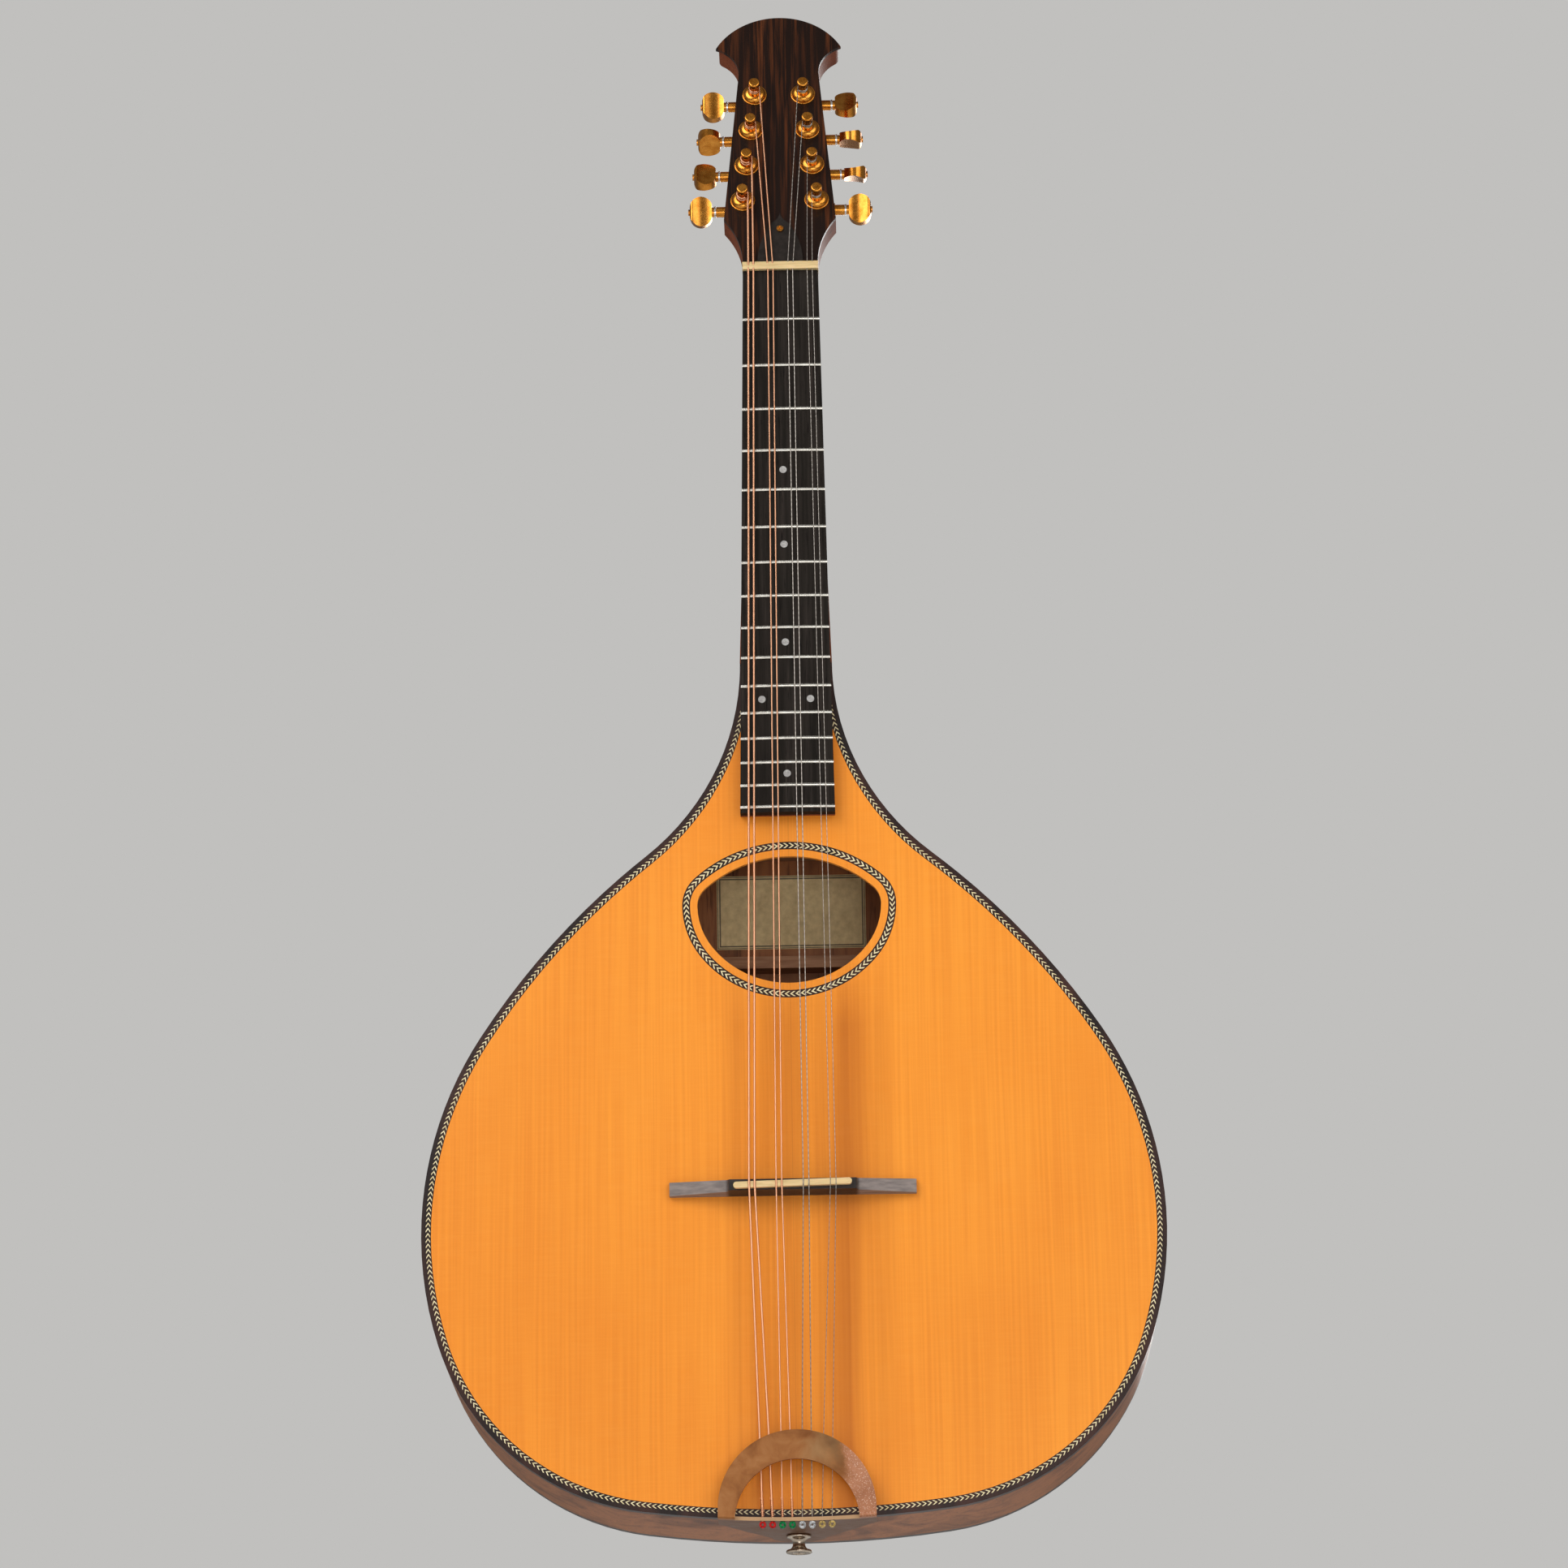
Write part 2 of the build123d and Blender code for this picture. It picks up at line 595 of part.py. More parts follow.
# ---- The neck, fingerboard and nut -----------------------------------------------------------
def neck_section(from_nut, half, depth, squareness):
    """A D-shaped slice across the neck: flat under the fingerboard, a superellipse behind."""
    z = Z_NUT - from_nut
    y = Y_BOARD + FINGERBOARD_THICKNESS
    curve = []
    for i in range(SECTION_POINTS):
        a = pi * i / (SECTION_POINTS - 1)
        across = abs(cos(a)) ** (2 / squareness)
        down = abs(sin(a)) ** (2 / squareness)
        curve.append((half * (across if a < pi / 2 else -across), y + depth * down, z))
    return Face(Wire([Edge.make_spline(curve), Edge.make_line(curve[-1], curve[0])]))


def neck_shaft():
    """The straight part from the nut down to where the heel begins to swell."""
    far = HEEL_START * NECK_LENGTH
    near_end = neck_section(0, board_half_width(0), NECK_DEPTH_AT_NUT, SHAFT_SQUARENESS)
    far_end = neck_section(far, board_half_width(far), NECK_DEPTH_AT_HEEL, SHAFT_SQUARENESS)
    return loft([near_end, far_end], ruled=True)


def heel():
    """The swelling foot of the neck, deepening along a quarter wave until it meets the body."""
    full = back_y(Z_JOIN) - HEEL_ABOVE_BACK - Y_BOARD - FINGERBOARD_THICKNESS
    begin = HEEL_START * NECK_LENGTH
    first = board_half_width(begin)
    slices = []
    for i in range(HEEL_STATIONS):
        t = i / (HEEL_STATIONS - 1)
        grow = 1 - cos(t * pi / 2)
        slices.append(
            neck_section(
                begin + t * (NECK_LENGTH - begin),
                first + t * (HEEL_HALF - first),
                NECK_DEPTH_AT_HEEL + grow * (full - NECK_DEPTH_AT_HEEL),
                SHAFT_SQUARENESS + t * (HEEL_SQUARENESS - SHAFT_SQUARENESS),
            )
        )
    return loft(slices)


def head_face(out):
    """The headstock's outline on a plane this far out of the headplate's face."""
    low, waist, crest = HEAD_LOWER_FROM_NUT, HEAD_WAIST_FROM_NUT, HEAD_LENGTH - HEAD_CREST_HEIGHT
    nut_half = FINGERBOARD_NUT_WIDTH / 2
    edges = []
    for side in (-1, 1):

        def at(x, along):
            return (side * x, along, 0)

        bulge = nut_half + 0.25 * (HEAD_LOWER_HALF_WIDTH - nut_half)
        edges += [
            Edge.make_line(at(nut_half, -NUT_THICKNESS - 2), at(nut_half, 0)),
            Edge.make_three_point_arc(
                at(nut_half, 0), at(bulge, 0.53 * low), at(HEAD_LOWER_HALF_WIDTH, low)
            ),
            Edge.make_line(at(HEAD_LOWER_HALF_WIDTH, low), at(HEAD_WAIST_HALF_WIDTH, waist)),
            Edge.make_three_point_arc(
                at(HEAD_WAIST_HALF_WIDTH, waist),
                at(
                    HEAD_WAIST_HALF_WIDTH + 0.32 * (HEAD_CREST_HALF_WIDTH - HEAD_WAIST_HALF_WIDTH),
                    waist + 0.66 * (crest - waist),
                ),
                at(HEAD_CREST_HALF_WIDTH, crest),
            ),
        ]
    edges += [
        Edge.make_three_point_arc(
            (-HEAD_CREST_HALF_WIDTH, crest, 0), (0, HEAD_LENGTH, 0), (HEAD_CREST_HALF_WIDTH, crest, 0)
        ),
        Edge.make_line((-nut_half, -NUT_THICKNESS - 2, 0), (nut_half, -NUT_THICKNESS - 2, 0)),
    ]
    return HEAD * (Pos(0, 0, out) * Face(Wire(edges)))


TUNER_HOLE_RADIUS = BUSHING_RADIUS + FIT


def tuner_holes():
    depth = HEADPLATE_THICKNESS + HEAD_WOOD + 2
    return both_sides(lambda: Pos(0, 0, 1 - depth / 2) * Cylinder(TUNER_HOLE_RADIUS, depth))


def rod_pocket():
    """The well behind the nut that holds the truss rod's nut, under its cover."""
    half = ROD_POCKET_HALF
    return HEAD * block(-half, half, -2, ROD_POCKET_LENGTH, -ROD_POCKET_DEPTH, 2)


def rod_y():
    return Y_BOARD + FINGERBOARD_THICKNESS + TRUSS_CHANNEL_DEPTH / 2


def rod_channel():
    half = TRUSS_CHANNEL_WIDTH / 2
    y = Y_BOARD + FINGERBOARD_THICKNESS
    return block(-half, half, y - 1, y + TRUSS_CHANNEL_DEPTH, Z_JOIN + 8, Z_NUT + NUT_THICKNESS + 4)


def neck():
    head = extrude(head_face(-HEADPLATE_THICKNESS), amount=-HEAD_WOOD, dir=HEAD.z_dir)
    upright = head.edges().filter_by(Axis(HEAD.origin, HEAD.z_dir))
    tips = [e for e in upright if abs(e.center().X) > HEAD_CREST_HALF_WIDTH - 0.1]
    head = fillet(tips, EAR_TIP_RADIUS)
    shelf = Y_BOARD + FINGERBOARD_THICKNESS
    over_board = block(-FAR, FAR, -2 * FAR, shelf, 0, Z_NUT + NUT_THICKNESS)
    tongue_face = Face(
        Wire.make_polygon(
            [
                (side * board_half_width(s), shelf, Z_NUT - s)
                for side, s in (
                    (-1, NECK_LENGTH),
                    (-1, FINGERBOARD_LENGTH),
                    (1, FINGERBOARD_LENGTH),
                    (1, NECK_LENGTH),
                )
            ]
        )
    )
    tongue = extrude(tongue_face, amount=FINGERBOARD_RISER + 0.5, dir=(0, 1, 0)) - behind_top(0)
    whole = neck_shaft() + heel() + (head - over_board) + tongue
    for cut in [rod_channel(), rod_pocket(), cover_screw_hole(), *tuner_holes(), *tuner_screw_holes()]:
        whole -= cut
    return whole


def headplate():
    plate = extrude(head_face(0), amount=-HEADPLATE_THICKNESS, dir=HEAD.z_dir)
    before_nut = block(-FAR, FAR, -2 * FAR, FAR, 0, Z_NUT + NUT_THICKNESS)
    return plate - before_nut - rod_pocket() - tuner_holes() - cover_screw_hole()


def truss_rod():
    y = rod_y()
    bar = rod((0, y, Z_JOIN + 10), (0, y, Z_NUT + NUT_THICKNESS + 3), TRUSS_ROD_RADIUS)
    hexagon = extrude(RegularPolygon(TRUSS_NUT_RADIUS, 6), amount=TRUSS_NUT_LENGTH)
    return [bar, Pos(0, y, Z_NUT + NUT_THICKNESS + 3) * hexagon]


def cover_screw_hole():
    return HEAD * (Pos(0, COVER_SCREW, -4) * Cylinder(SMALL_SCREW_RADIUS + FIT, 12))


def truss_rod_cover():
    """An ogee-topped plate: bowed sides that turn in to a small point."""
    half = COVER_HALF_WIDTH
    edges = [Edge.make_line((-half, COVER_START, 0), (half, COVER_START, 0))]
    for side in (-1, 1):
        corner = (side * half, COVER_START, 0)
        bow = (side * 0.84 * half, 0.42 * COVER_TIP, 0)
        shoulder = (side * 0.36 * half, 0.8 * COVER_TIP, 0)
        hollow = (side * 0.13 * half, 0.88 * COVER_TIP, 0)
        edges.append(Edge.make_three_point_arc(corner, bow, shoulder))
        edges.append(Edge.make_three_point_arc(shoulder, hollow, (0, COVER_TIP, 0)))
    plate = extrude(Face(Wire(edges)), amount=COVER_THICKNESS, dir=(0, 0, 1))
    return HEAD * (plate - Pos(0, COVER_SCREW, 0) * Cylinder(SMALL_SCREW_RADIUS + FIT, 10))


def truss_cover_screw():
    face = COVER_THICKNESS
    head = Pos(0, 0, face + 0.5) * Cylinder(COVER_SCREW_HEAD, 1.0)
    head = head & (Pos(0, 0, face - 1.2) * Sphere(COVER_SCREW_HEAD + 0.9))
    shank_middle = Pos(0, 0, face - COVER_SCREW_LENGTH / 2)
    shank = shank_middle * Cylinder(SMALL_SCREW_RADIUS, COVER_SCREW_LENGTH)
    slots = [Pos(0, 0, face + 1.0) * (Rot(0, 0, a) * Box(2.4, 0.5, 1.0)) for a in (0, 90)]
    return HEAD * (Pos(0, COVER_SCREW, 0) * ((head + shank) - slots))


def board_prism(y0, y1):
    corners = [
        (side * board_half_width(s), y0, Z_NUT - s)
        for side, s in ((-1, 0), (-1, FINGERBOARD_LENGTH), (1, FINGERBOARD_LENGTH), (1, 0))
    ]
    return extrude(Face(Wire.make_polygon(corners)), amount=y1 - y0, dir=(0, 1, 0))


def dot_places():
    lines = [0.0, *FRET_LINES]

    def middle(fret):
        return (lines[fret - 1] + lines[fret]) / 2

    places = [(0.0, middle(f)) for f in SINGLE_DOT_FRETS]
    return places + [(side * DOUBLE_DOT_OFFSET, middle(DOUBLE_DOT_FRET)) for side in (-1, 1)]


def crown_y(x):
    """Fingerboard surface at a distance x from its centre line."""
    return Y_BOARD + FINGERBOARD_RADIUS - sqrt(FINGERBOARD_RADIUS**2 - x**2)


def dot_solid(x, s):
    y = crown_y(x)
    return rod((x, y, Z_NUT - s), (x, y + DOT_THICKNESS, Z_NUT - s), DOT_RADIUS)


def board_round():
    """The cylinder that the fingerboard's playing surface is part of."""
    middle = Pos(0, Y_BOARD + FINGERBOARD_RADIUS, Z_NUT - FINGERBOARD_LENGTH / 2)
    return middle * Cylinder(FINGERBOARD_RADIUS, 2 * FINGERBOARD_LENGTH)


def tang_slot(s, half, front):
    """The bar that a fret's tang fills, from a front plane down to the slot's floor."""
    z = Z_NUT - s
    floor = Y_BOARD + FRET_TANG_DEPTH + FRET_SLOT_DIP
    return block(-half, half, front, floor, z - FRET_TANG / 2, z + FRET_TANG / 2)


def fingerboard():
    board = board_prism(Y_BOARD - 3, Y_BOARD + FINGERBOARD_THICKNESS) & board_round()
    slots = [tang_slot(s, FAR, Y_BOARD - 3) for s in FRET_LINES]
    dots = [dot_solid(x, s) for x, s in dot_places()]
    pockets = [dot + dot.translate((0, -DOT_THICKNESS, 0)) for dot in dots]
    return board - slots - pockets


def frets():
    """Each fret: a domed crown bent to the board's radius on a tang that fills its slot."""
    axis_y = Y_BOARD + FINGERBOARD_RADIUS
    made = []
    for s in FRET_LINES:
        z = Z_NUT - s
        half = board_half_width(s)
        spread = degrees(asin(half / FINGERBOARD_RADIUS))
        low, high = (0, Y_BOARD, z - FRET_WIDTH / 2), (0, Y_BOARD, z + FRET_WIDTH / 2)
        dome = Edge.make_three_point_arc(low, (0, Y_BOARD - FRET_HEIGHT, z), high)
        profile = Face(Wire([dome, Edge.make_line(high, low)]))
        axis = Axis((0, axis_y, z), (0, 0, 1))
        start = profile.rotate(axis, -spread - 1)
        crown = revolve(start, axis, 2 * spread + 2)
        tang = tang_slot(s, half, Y_BOARD) & (Pos(0, axis_y, z) * Cylinder(FINGERBOARD_RADIUS, 4))
        ends = board_prism(Y_BOARD - 3, Y_BOARD + 6)
        made.append((crown & ends) + tang)
    return made


def position_dots():
    dots = [dot_solid(x, s) for x, s in dot_places()]
    raised = [dot + dot.translate((0, -DOT_THICKNESS / 2, 0)) for dot in dots]
    return [dot & board_round() for dot in raised]


def nut():
    half = FINGERBOARD_NUT_WIDTH / 2 + 0.2
    y0, y1 = Y_BOARD - NUT_RISE, Y_BOARD + FINGERBOARD_THICKNESS
    bar = block(-half, half, y0, y1, Z_NUT, Z_NUT + NUT_THICKNESS)
    slope = Rot(-NUT_BACK_SLOPE, 0, 0) * Box(FAR, 3.0, 12.0)
    rear = Pos(0, y0, Z_NUT + NUT_THICKNESS) * slope
    bar = bar - rear
    corners = bar.edges().filter_by(Axis.Z).group_by(Axis.Y)[0]
    bar = fillet(corners, NUT_CORNER)
    return bar - [cutter for i in range(STRING_COUNT) for cutter in string_grooves(i, 3)]


# ---- The bridge, saddle and tailpiece ----------------------------------------------------------
def bridge():
    tip, root, crown = (Y_TOP - h for h in (BRIDGE_WING_TIP, BRIDGE_WING_ROOT, BRIDGE_HEIGHT))
    half = BRIDGE_LENGTH / 2
    inner = BRIDGE_CROWN_HALF
    floor = Y_TOP + TOP_ARCH_DROP
    left = [(-half, floor), (-half, tip), (-inner - CROWN_STEP, root), (-inner, crown)]
    points = left + [(-x, y) for x, y in reversed(left)]
    face = Face(Wire.make_polygon([(x, y, Z_SADDLE - BRIDGE_WIDTH / 2) for x, y in points]))
    bar = extrude(face, amount=BRIDGE_WIDTH, dir=(0, 0, 1))
    lean = (BRIDGE_WIDTH - BRIDGE_TOP_WIDTH) / 2
    wide = BRIDGE_WIDTH / 2
    lower = [(Y_TOP + 5, -wide), (Y_TOP - 2, -wide), (crown - 1, lean - wide)]
    wedge_points = lower + [(y, -z) for y, z in reversed(lower)]
    section = Face(Wire.make_polygon([(-FAR, y, Z_SADDLE + z) for y, z in wedge_points]))
    wedge = extrude(section, amount=2 * FAR, dir=(1, 0, 0))
    return (bar & wedge) - behind_top(0) - saddle_blank(0)


def saddle_blank(rise):
    """The saddle's bar in its slot, rounded at both ends, reaching this far above the bridge."""
    straight = SADDLE_LENGTH - SADDLE_WIDTH
    flat = SlotCenterToCenter(straight, SADDLE_WIDTH)
    bar = extrude(flat, amount=SADDLE_DEPTH + rise)
    upright = Plane(origin=(0, 0, 0), x_dir=(1, 0, 0), z_dir=(0, -1, 0)) * bar
    turned = Rot(0, -SADDLE_SLANT, 0) * upright
    return Pos(0, Y_TOP - BRIDGE_HEIGHT + SADDLE_DEPTH, Z_SADDLE) * turned


def saddle():
    grooves = [cutter for i in range(STRING_COUNT) for cutter in string_grooves(i, 2)]
    return saddle_blank(SADDLE_RISE) - grooves


ARCH_Y = Y_TOP - ARCH_HEIGHT - TAILPIECE_THICKNESS + ARCH_SETBACK    # arch's front face
HOLE_Y = Y_TOP - TAIL_HOLE_HEIGHT
ARCH_CENTRE_Z = Z_TAIL + ARCH_RISE                    # centre of the arch's outer curve


def tailpiece():
    """One bent brass plate: a crescent arch over the strings and a flange down the tail."""
    t = TAILPIECE_THICKNESS
    outer_z = ARCH_CENTRE_Z
    inner_z = outer_z + ARCH_OUTER_RADIUS - ARCH_TOP_WIDTH - ARCH_INNER_RADIUS
    foot = Z_TAIL - t
    disc = Pos(0, ARCH_Y + t / 2, outer_z) * (Rot(90, 0, 0) * Cylinder(ARCH_OUTER_RADIUS, t))
    legs = block(-ARCH_OUTER_RADIUS, ARCH_OUTER_RADIUS, ARCH_Y, ARCH_Y + t, foot - 5, outer_z)
    half_disc = disc & block(-FAR, FAR, -FAR, FAR, outer_z, 10 * FAR)
    window = Pos(0, ARCH_Y, inner_z) * (Rot(90, 0, 0) * Cylinder(ARCH_INNER_RADIUS, 4 * t))
    window += block(-ARCH_INNER_RADIUS, ARCH_INNER_RADIUS, ARCH_Y - t, ARCH_Y + 3 * t, -FAR, inner_z)
    arch = (half_disc + legs) & (plan(-t) + block(-FAR, FAR, -FAR, FAR, outer_z, Z_JOIN))
    arch = arch - window
    bar_top = HOLE_Y - BAR_ABOVE_HOLES
    low = Y_TOP + FLANGE_DROP
    wide = ARCH_OUTER_RADIUS
    narrow = FLANGE_LOWER_HALF_WIDTH
    edges = [Edge.make_line((wide, ARCH_Y, 0), (-wide, ARCH_Y, 0))]
    for side in (-1, 1):
        shoulder = (side * wide, Y_TOP + FLANGE_SHOULDER, 0)
        edges.append(Edge.make_line((side * wide, ARCH_Y, 0), shoulder))
        edges.append(Edge.make_line(shoulder, (side * narrow, low - narrow, 0)))
    edges.append(
        Edge.make_three_point_arc((-narrow, low - narrow, 0), (0, low, 0), (narrow, low - narrow, 0))
    )
    shape = Face(Wire(edges))
    flange = (plan(-t) - plan(0)) & extrude(shape, amount=Z_TAIL + 20, dir=(0, 0, 1))
    notch = block(-ARCH_INNER_RADIUS, ARCH_INNER_RADIUS, ARCH_Y - 5, bar_top, -FAR, Z_TAIL + 20)
    holes = [rod((x, HOLE_Y, 0), (x, HOLE_Y, Z_TAIL + 20), TAIL_HOLE_RADIUS) for x in TAIL_X]
    button = rod((0, 0, 0), (0, 0, Z_TAIL + 20), STRAP_SCREW_RADIUS + FIT)
    whole = arch + (flange - notch)
    bend = [
        e
        for e in whole.edges()
        if abs(e.center().Y - ARCH_Y) < 0.2
        and e.bounding_box().max.Z < Z_TAIL + 0.5
        and e.length > 5
    ]
    whole = fillet(bend, 0.8 * t)
    return whole - holes - button


def flange_surface(x):
    """z of the flange's outer face at x."""
    radius = outline_arcs()[0][0] + TAILPIECE_THICKNESS
    return Z_TAIL - TAILPIECE_THICKNESS + radius - sqrt(radius**2 - x**2)


def strap_button():
    """A turned button with a waist between two flanges, and the screw that holds it."""
    rim, waist, length = STRAP_BUTTON_RADIUS, STRAP_BUTTON_WAIST_RADIUS, STRAP_BUTTON_LENGTH
    bore = STRAP_SCREW_RADIUS + FIT
    sink = STRAP_BUTTON_SINK
    profile = Face(
        Wire(
            [
                Edge.make_line((bore, 0, sink), (sink, 0, 0)),
                Edge.make_line((sink, 0, 0), (rim - 0.6, 0, 0)),
                Edge.make_three_point_arc((rim - 0.6, 0, 0), (rim, 0, 0.9), (rim - 0.6, 0, 1.8)),
                Edge.make_three_point_arc(
                    (rim - 0.6, 0, 1.8), (waist, 0, 0.5 * length), (rim - 0.9, 0, length - 1.5)
                ),
                Edge.make_three_point_arc(
                    (rim - 0.9, 0, length - 1.5), (rim - 0.3, 0, length - 0.75), (rim - 0.9, 0, length)
                ),
                Edge.make_line((rim - 0.9, 0, length), (bore, 0, length)),
                Edge.make_line((bore, 0, length), (bore, 0, sink)),
            ]
        )
    )
    button = revolve(profile, Axis.Z, 360)
    thick = STRAP_SCREW_RADIUS
    gap = sink - FIT - 0.3
    end = Z_TAIL + STRAP_SCREW_DEPTH
    screw_profile = Wire.make_polygon(
        [(0, 0, 0.3), (gap - 0.2, 0, 0.3), (thick, 0, sink), (thick, 0, end), (0, 0, end + 2)]
    )
    screw = revolve(Face(screw_profile), Axis.Z, 360)
    screw -= [Pos(0, 0, 0.3) * (Rot(0, 0, a) * Box(3.6, 0.7, 1.6)) for a in (0, 90)]
    return [button, screw]


# ---- The tuners, drawn on the treble side about the post's axis at the headplate's face ---------
BACK_FACE = -HEADPLATE_THICKNESS - HEAD_WOOD
GEAR_MIDDLE = BACK_FACE - BASE_PLATE_THICKNESS - GEAR_BELOW_PLATE
CASE_BACK = GEAR_MIDDLE - CASE_DEPTH
WORM_PITCH = 2 * pi * GEAR_PITCH_RADIUS / GEAR_TEETH
WORM_PITCH_RADIUS = WORM_OFFSET - GEAR_PITCH_RADIUS
WORM_OUTER = WORM_PITCH_RADIUS + WORM_THREAD_HEIGHT
WORM_ROOT = WORM_PITCH_RADIUS - WORM_THREAD_HEIGHT - MESH_GAP
WORM_TURNS = 2 * WORM_HALF / WORM_PITCH - 0.6
GEAR_OUTER = GEAR_PITCH_RADIUS + WORM_THREAD_HEIGHT
GEAR_ROOT = GEAR_PITCH_RADIUS - WORM_THREAD_HEIGHT - MESH_GAP
CASE_Y = (
    -GEAR_OUTER - CASE_ROOM_GAP - CASE_WALL,
    WORM_OFFSET + WORM_OUTER + CASE_ROOM_GAP + CASE_WALL,
)
EAR_Y = CASE_Y[0] - MOUNT_SCREW_HEAD - 0.1
BUTTON_WASHER_START = BOSS_END + 0.1


def tuner_screw_holes():
    return both_sides(lambda: Pos(0, EAR_Y, BACK_FACE + 3) * Cylinder(SMALL_SCREW_RADIUS, 8))


def tuner_base_plate():
    (x0, x1), (y0, y1) = CASE_X, CASE_Y
    thick = BASE_PLATE_THICKNESS
    plate = block(x0, x1, y0, y1, BACK_FACE - thick, BACK_FACE)
    plate = fillet(plate.edges().filter_by(Axis.Z), CASE_CORNER)
    ear = Pos(0, EAR_Y, BACK_FACE - thick / 2) * Cylinder(EAR_RADIUS, thick)
    ear += block(-EAR_RADIUS, EAR_RADIUS, EAR_Y, y0 + 1, BACK_FACE - thick, BACK_FACE)
    plate = plate + ear
    holes = [
        Pos(0, 0, BACK_FACE) * Cylinder(POST_RADIUS + RUNNING, 6),
        Pos(0, EAR_Y, BACK_FACE) * Cylinder(SMALL_SCREW_RADIUS + FIT, 6),
    ]
    return plate - holes


def tuner_housing():
    """The sealed gear case: a gear room and a worm room that open into each other."""
    (x0, x1), (y0, y1) = CASE_X, CASE_Y
    front = BACK_FACE - BASE_PLATE_THICKNESS
    line = (WORM_OFFSET, GEAR_MIDDLE)
    case = block(x0, x1, y0, y1, CASE_BACK, front)
    case = fillet(case.edges().filter_by(Axis.Z), CASE_CORNER)
    case = fillet(case.faces().sort_by(Axis.Z)[0].edges(), CASE_EDGE)
    case += rod((x1 - 1, *line), (BOSS_END, *line), BOSS_RADIUS)
    case += rod((x1 - 1, *line), (x1 + BOSS_ROOT_LENGTH, *line), BOSS_ROOT_RADIUS)
    gear_top, gear_floor = front + 1, GEAR_MIDDLE - GEAR_ROOM_DEPTH
    gear_room = rod((0, 0, gear_floor), (0, 0, gear_top), GEAR_OUTER + CASE_ROOM_GAP)
    reach = WORM_HALF + 0.6
    worm_room = rod((-reach, *line), (reach, *line), WORM_OUTER + CASE_ROOM_GAP)
    bore = rod((0, *line), (BOSS_END + 1, *line), SHAFT_RADIUS + RUNNING)
    blind_end = -WORM_HALF - SHAFT_TAIL_LENGTH - 0.2
    tail = rod((blind_end, *line), (0, *line), SHAFT_TAIL_RADIUS + RUNNING)
    return case - gear_room - worm_room - bore - tail


def tuner_bushing():
    """The domed, threaded sleeve that guides the post, and the washer under it."""
    bore = POST_RADIUS + BUSHING_BORE_GAP
    thick, rim, rise = BUSHING_WASHER_THICKNESS, BUSHING_RIM, BUSHING_RISE
    washer = rod((0, 0, 0), (0, 0, thick), BUSHING_WASHER_RADIUS)
    washer -= rod((0, 0, -1), (0, 0, 2), TUNER_HOLE_RADIUS)
    washer = fillet(washer.edges().group_by(Axis.Z)[-1].sort_by(SortBy.RADIUS)[-1], thick / 2)
    lip = bore + 0.84
    dome_middle = (rim - 0.9, 0, thick + 0.65 * (rise - thick))
    profile = Face(
        Wire(
            [
                Edge.make_line((bore, 0, -BUSHING_DEPTH), (BUSHING_RADIUS, 0, -BUSHING_DEPTH)),
                Edge.make_line((BUSHING_RADIUS, 0, -BUSHING_DEPTH), (BUSHING_RADIUS, 0, thick)),
                Edge.make_line((BUSHING_RADIUS, 0, thick), (rim, 0, thick)),
                Edge.make_three_point_arc((rim, 0, thick), dome_middle, (lip, 0, rise)),
                Edge.make_line((lip, 0, rise), (bore, 0, rise)),
                Edge.make_line((bore, 0, rise), (bore, 0, -BUSHING_DEPTH)),
            ]
        )
    )
    return [washer, revolve(profile, Axis.Z, 360)]


def mount_screw():
    y = EAR_Y
    z = BACK_FACE - BASE_PLATE_THICKNESS
    dome = Pos(0, y, z + 1.4) * Sphere(MOUNT_SCREW_HEAD + 0.9)
    head = rod((0, y, z - 1.2), (0, y, z), MOUNT_SCREW_HEAD) & dome
    shank = rod((0, y, z), (0, y, BACK_FACE + MOUNT_SCREW_LENGTH), SMALL_SCREW_RADIUS)
    slot = [Pos(0, y, z - 1.2) * (Rot(0, 0, a) * Box(2.2, 0.45, 0.9)) for a in (0, 90)]
    return (head + shank) - slot


def gear_wheel():
    """A wheel of straight-flanked teeth that mesh with the worm's thread."""
    flank = tan(radians(TOOTH_ANGLE))
    tip = TOOTH_WIDTH / 2 - WORM_THREAD_HEIGHT * flank
    root = TOOTH_WIDTH / 2 + (WORM_THREAD_HEIGHT + MESH_GAP + 0.3) * flank
    base = GEAR_ROOT - 0.3
    corners = [(-root, base, 0), (root, base, 0), (tip, GEAR_OUTER, 0), (-tip, GEAR_OUTER, 0)]
    tooth = extrude(Face(Wire.make_polygon(corners)), amount=GEAR_THICKNESS, dir=(0, 0, 1))
    disc = Pos(0, 0, GEAR_THICKNESS / 2) * Cylinder(GEAR_ROOT, GEAR_THICKNESS)
    teeth = [Rot(0, 0, 360 * i / GEAR_TEETH) * tooth for i in range(GEAR_TEETH)]
    wheel = disc + teeth
    wheel -= Pos(0, 0, GEAR_THICKNESS / 2) * Cylinder(GEAR_BORE, 2 * GEAR_THICKNESS)
    return Pos(0, 0, GEAR_MIDDLE - GEAR_THICKNESS / 2) * wheel


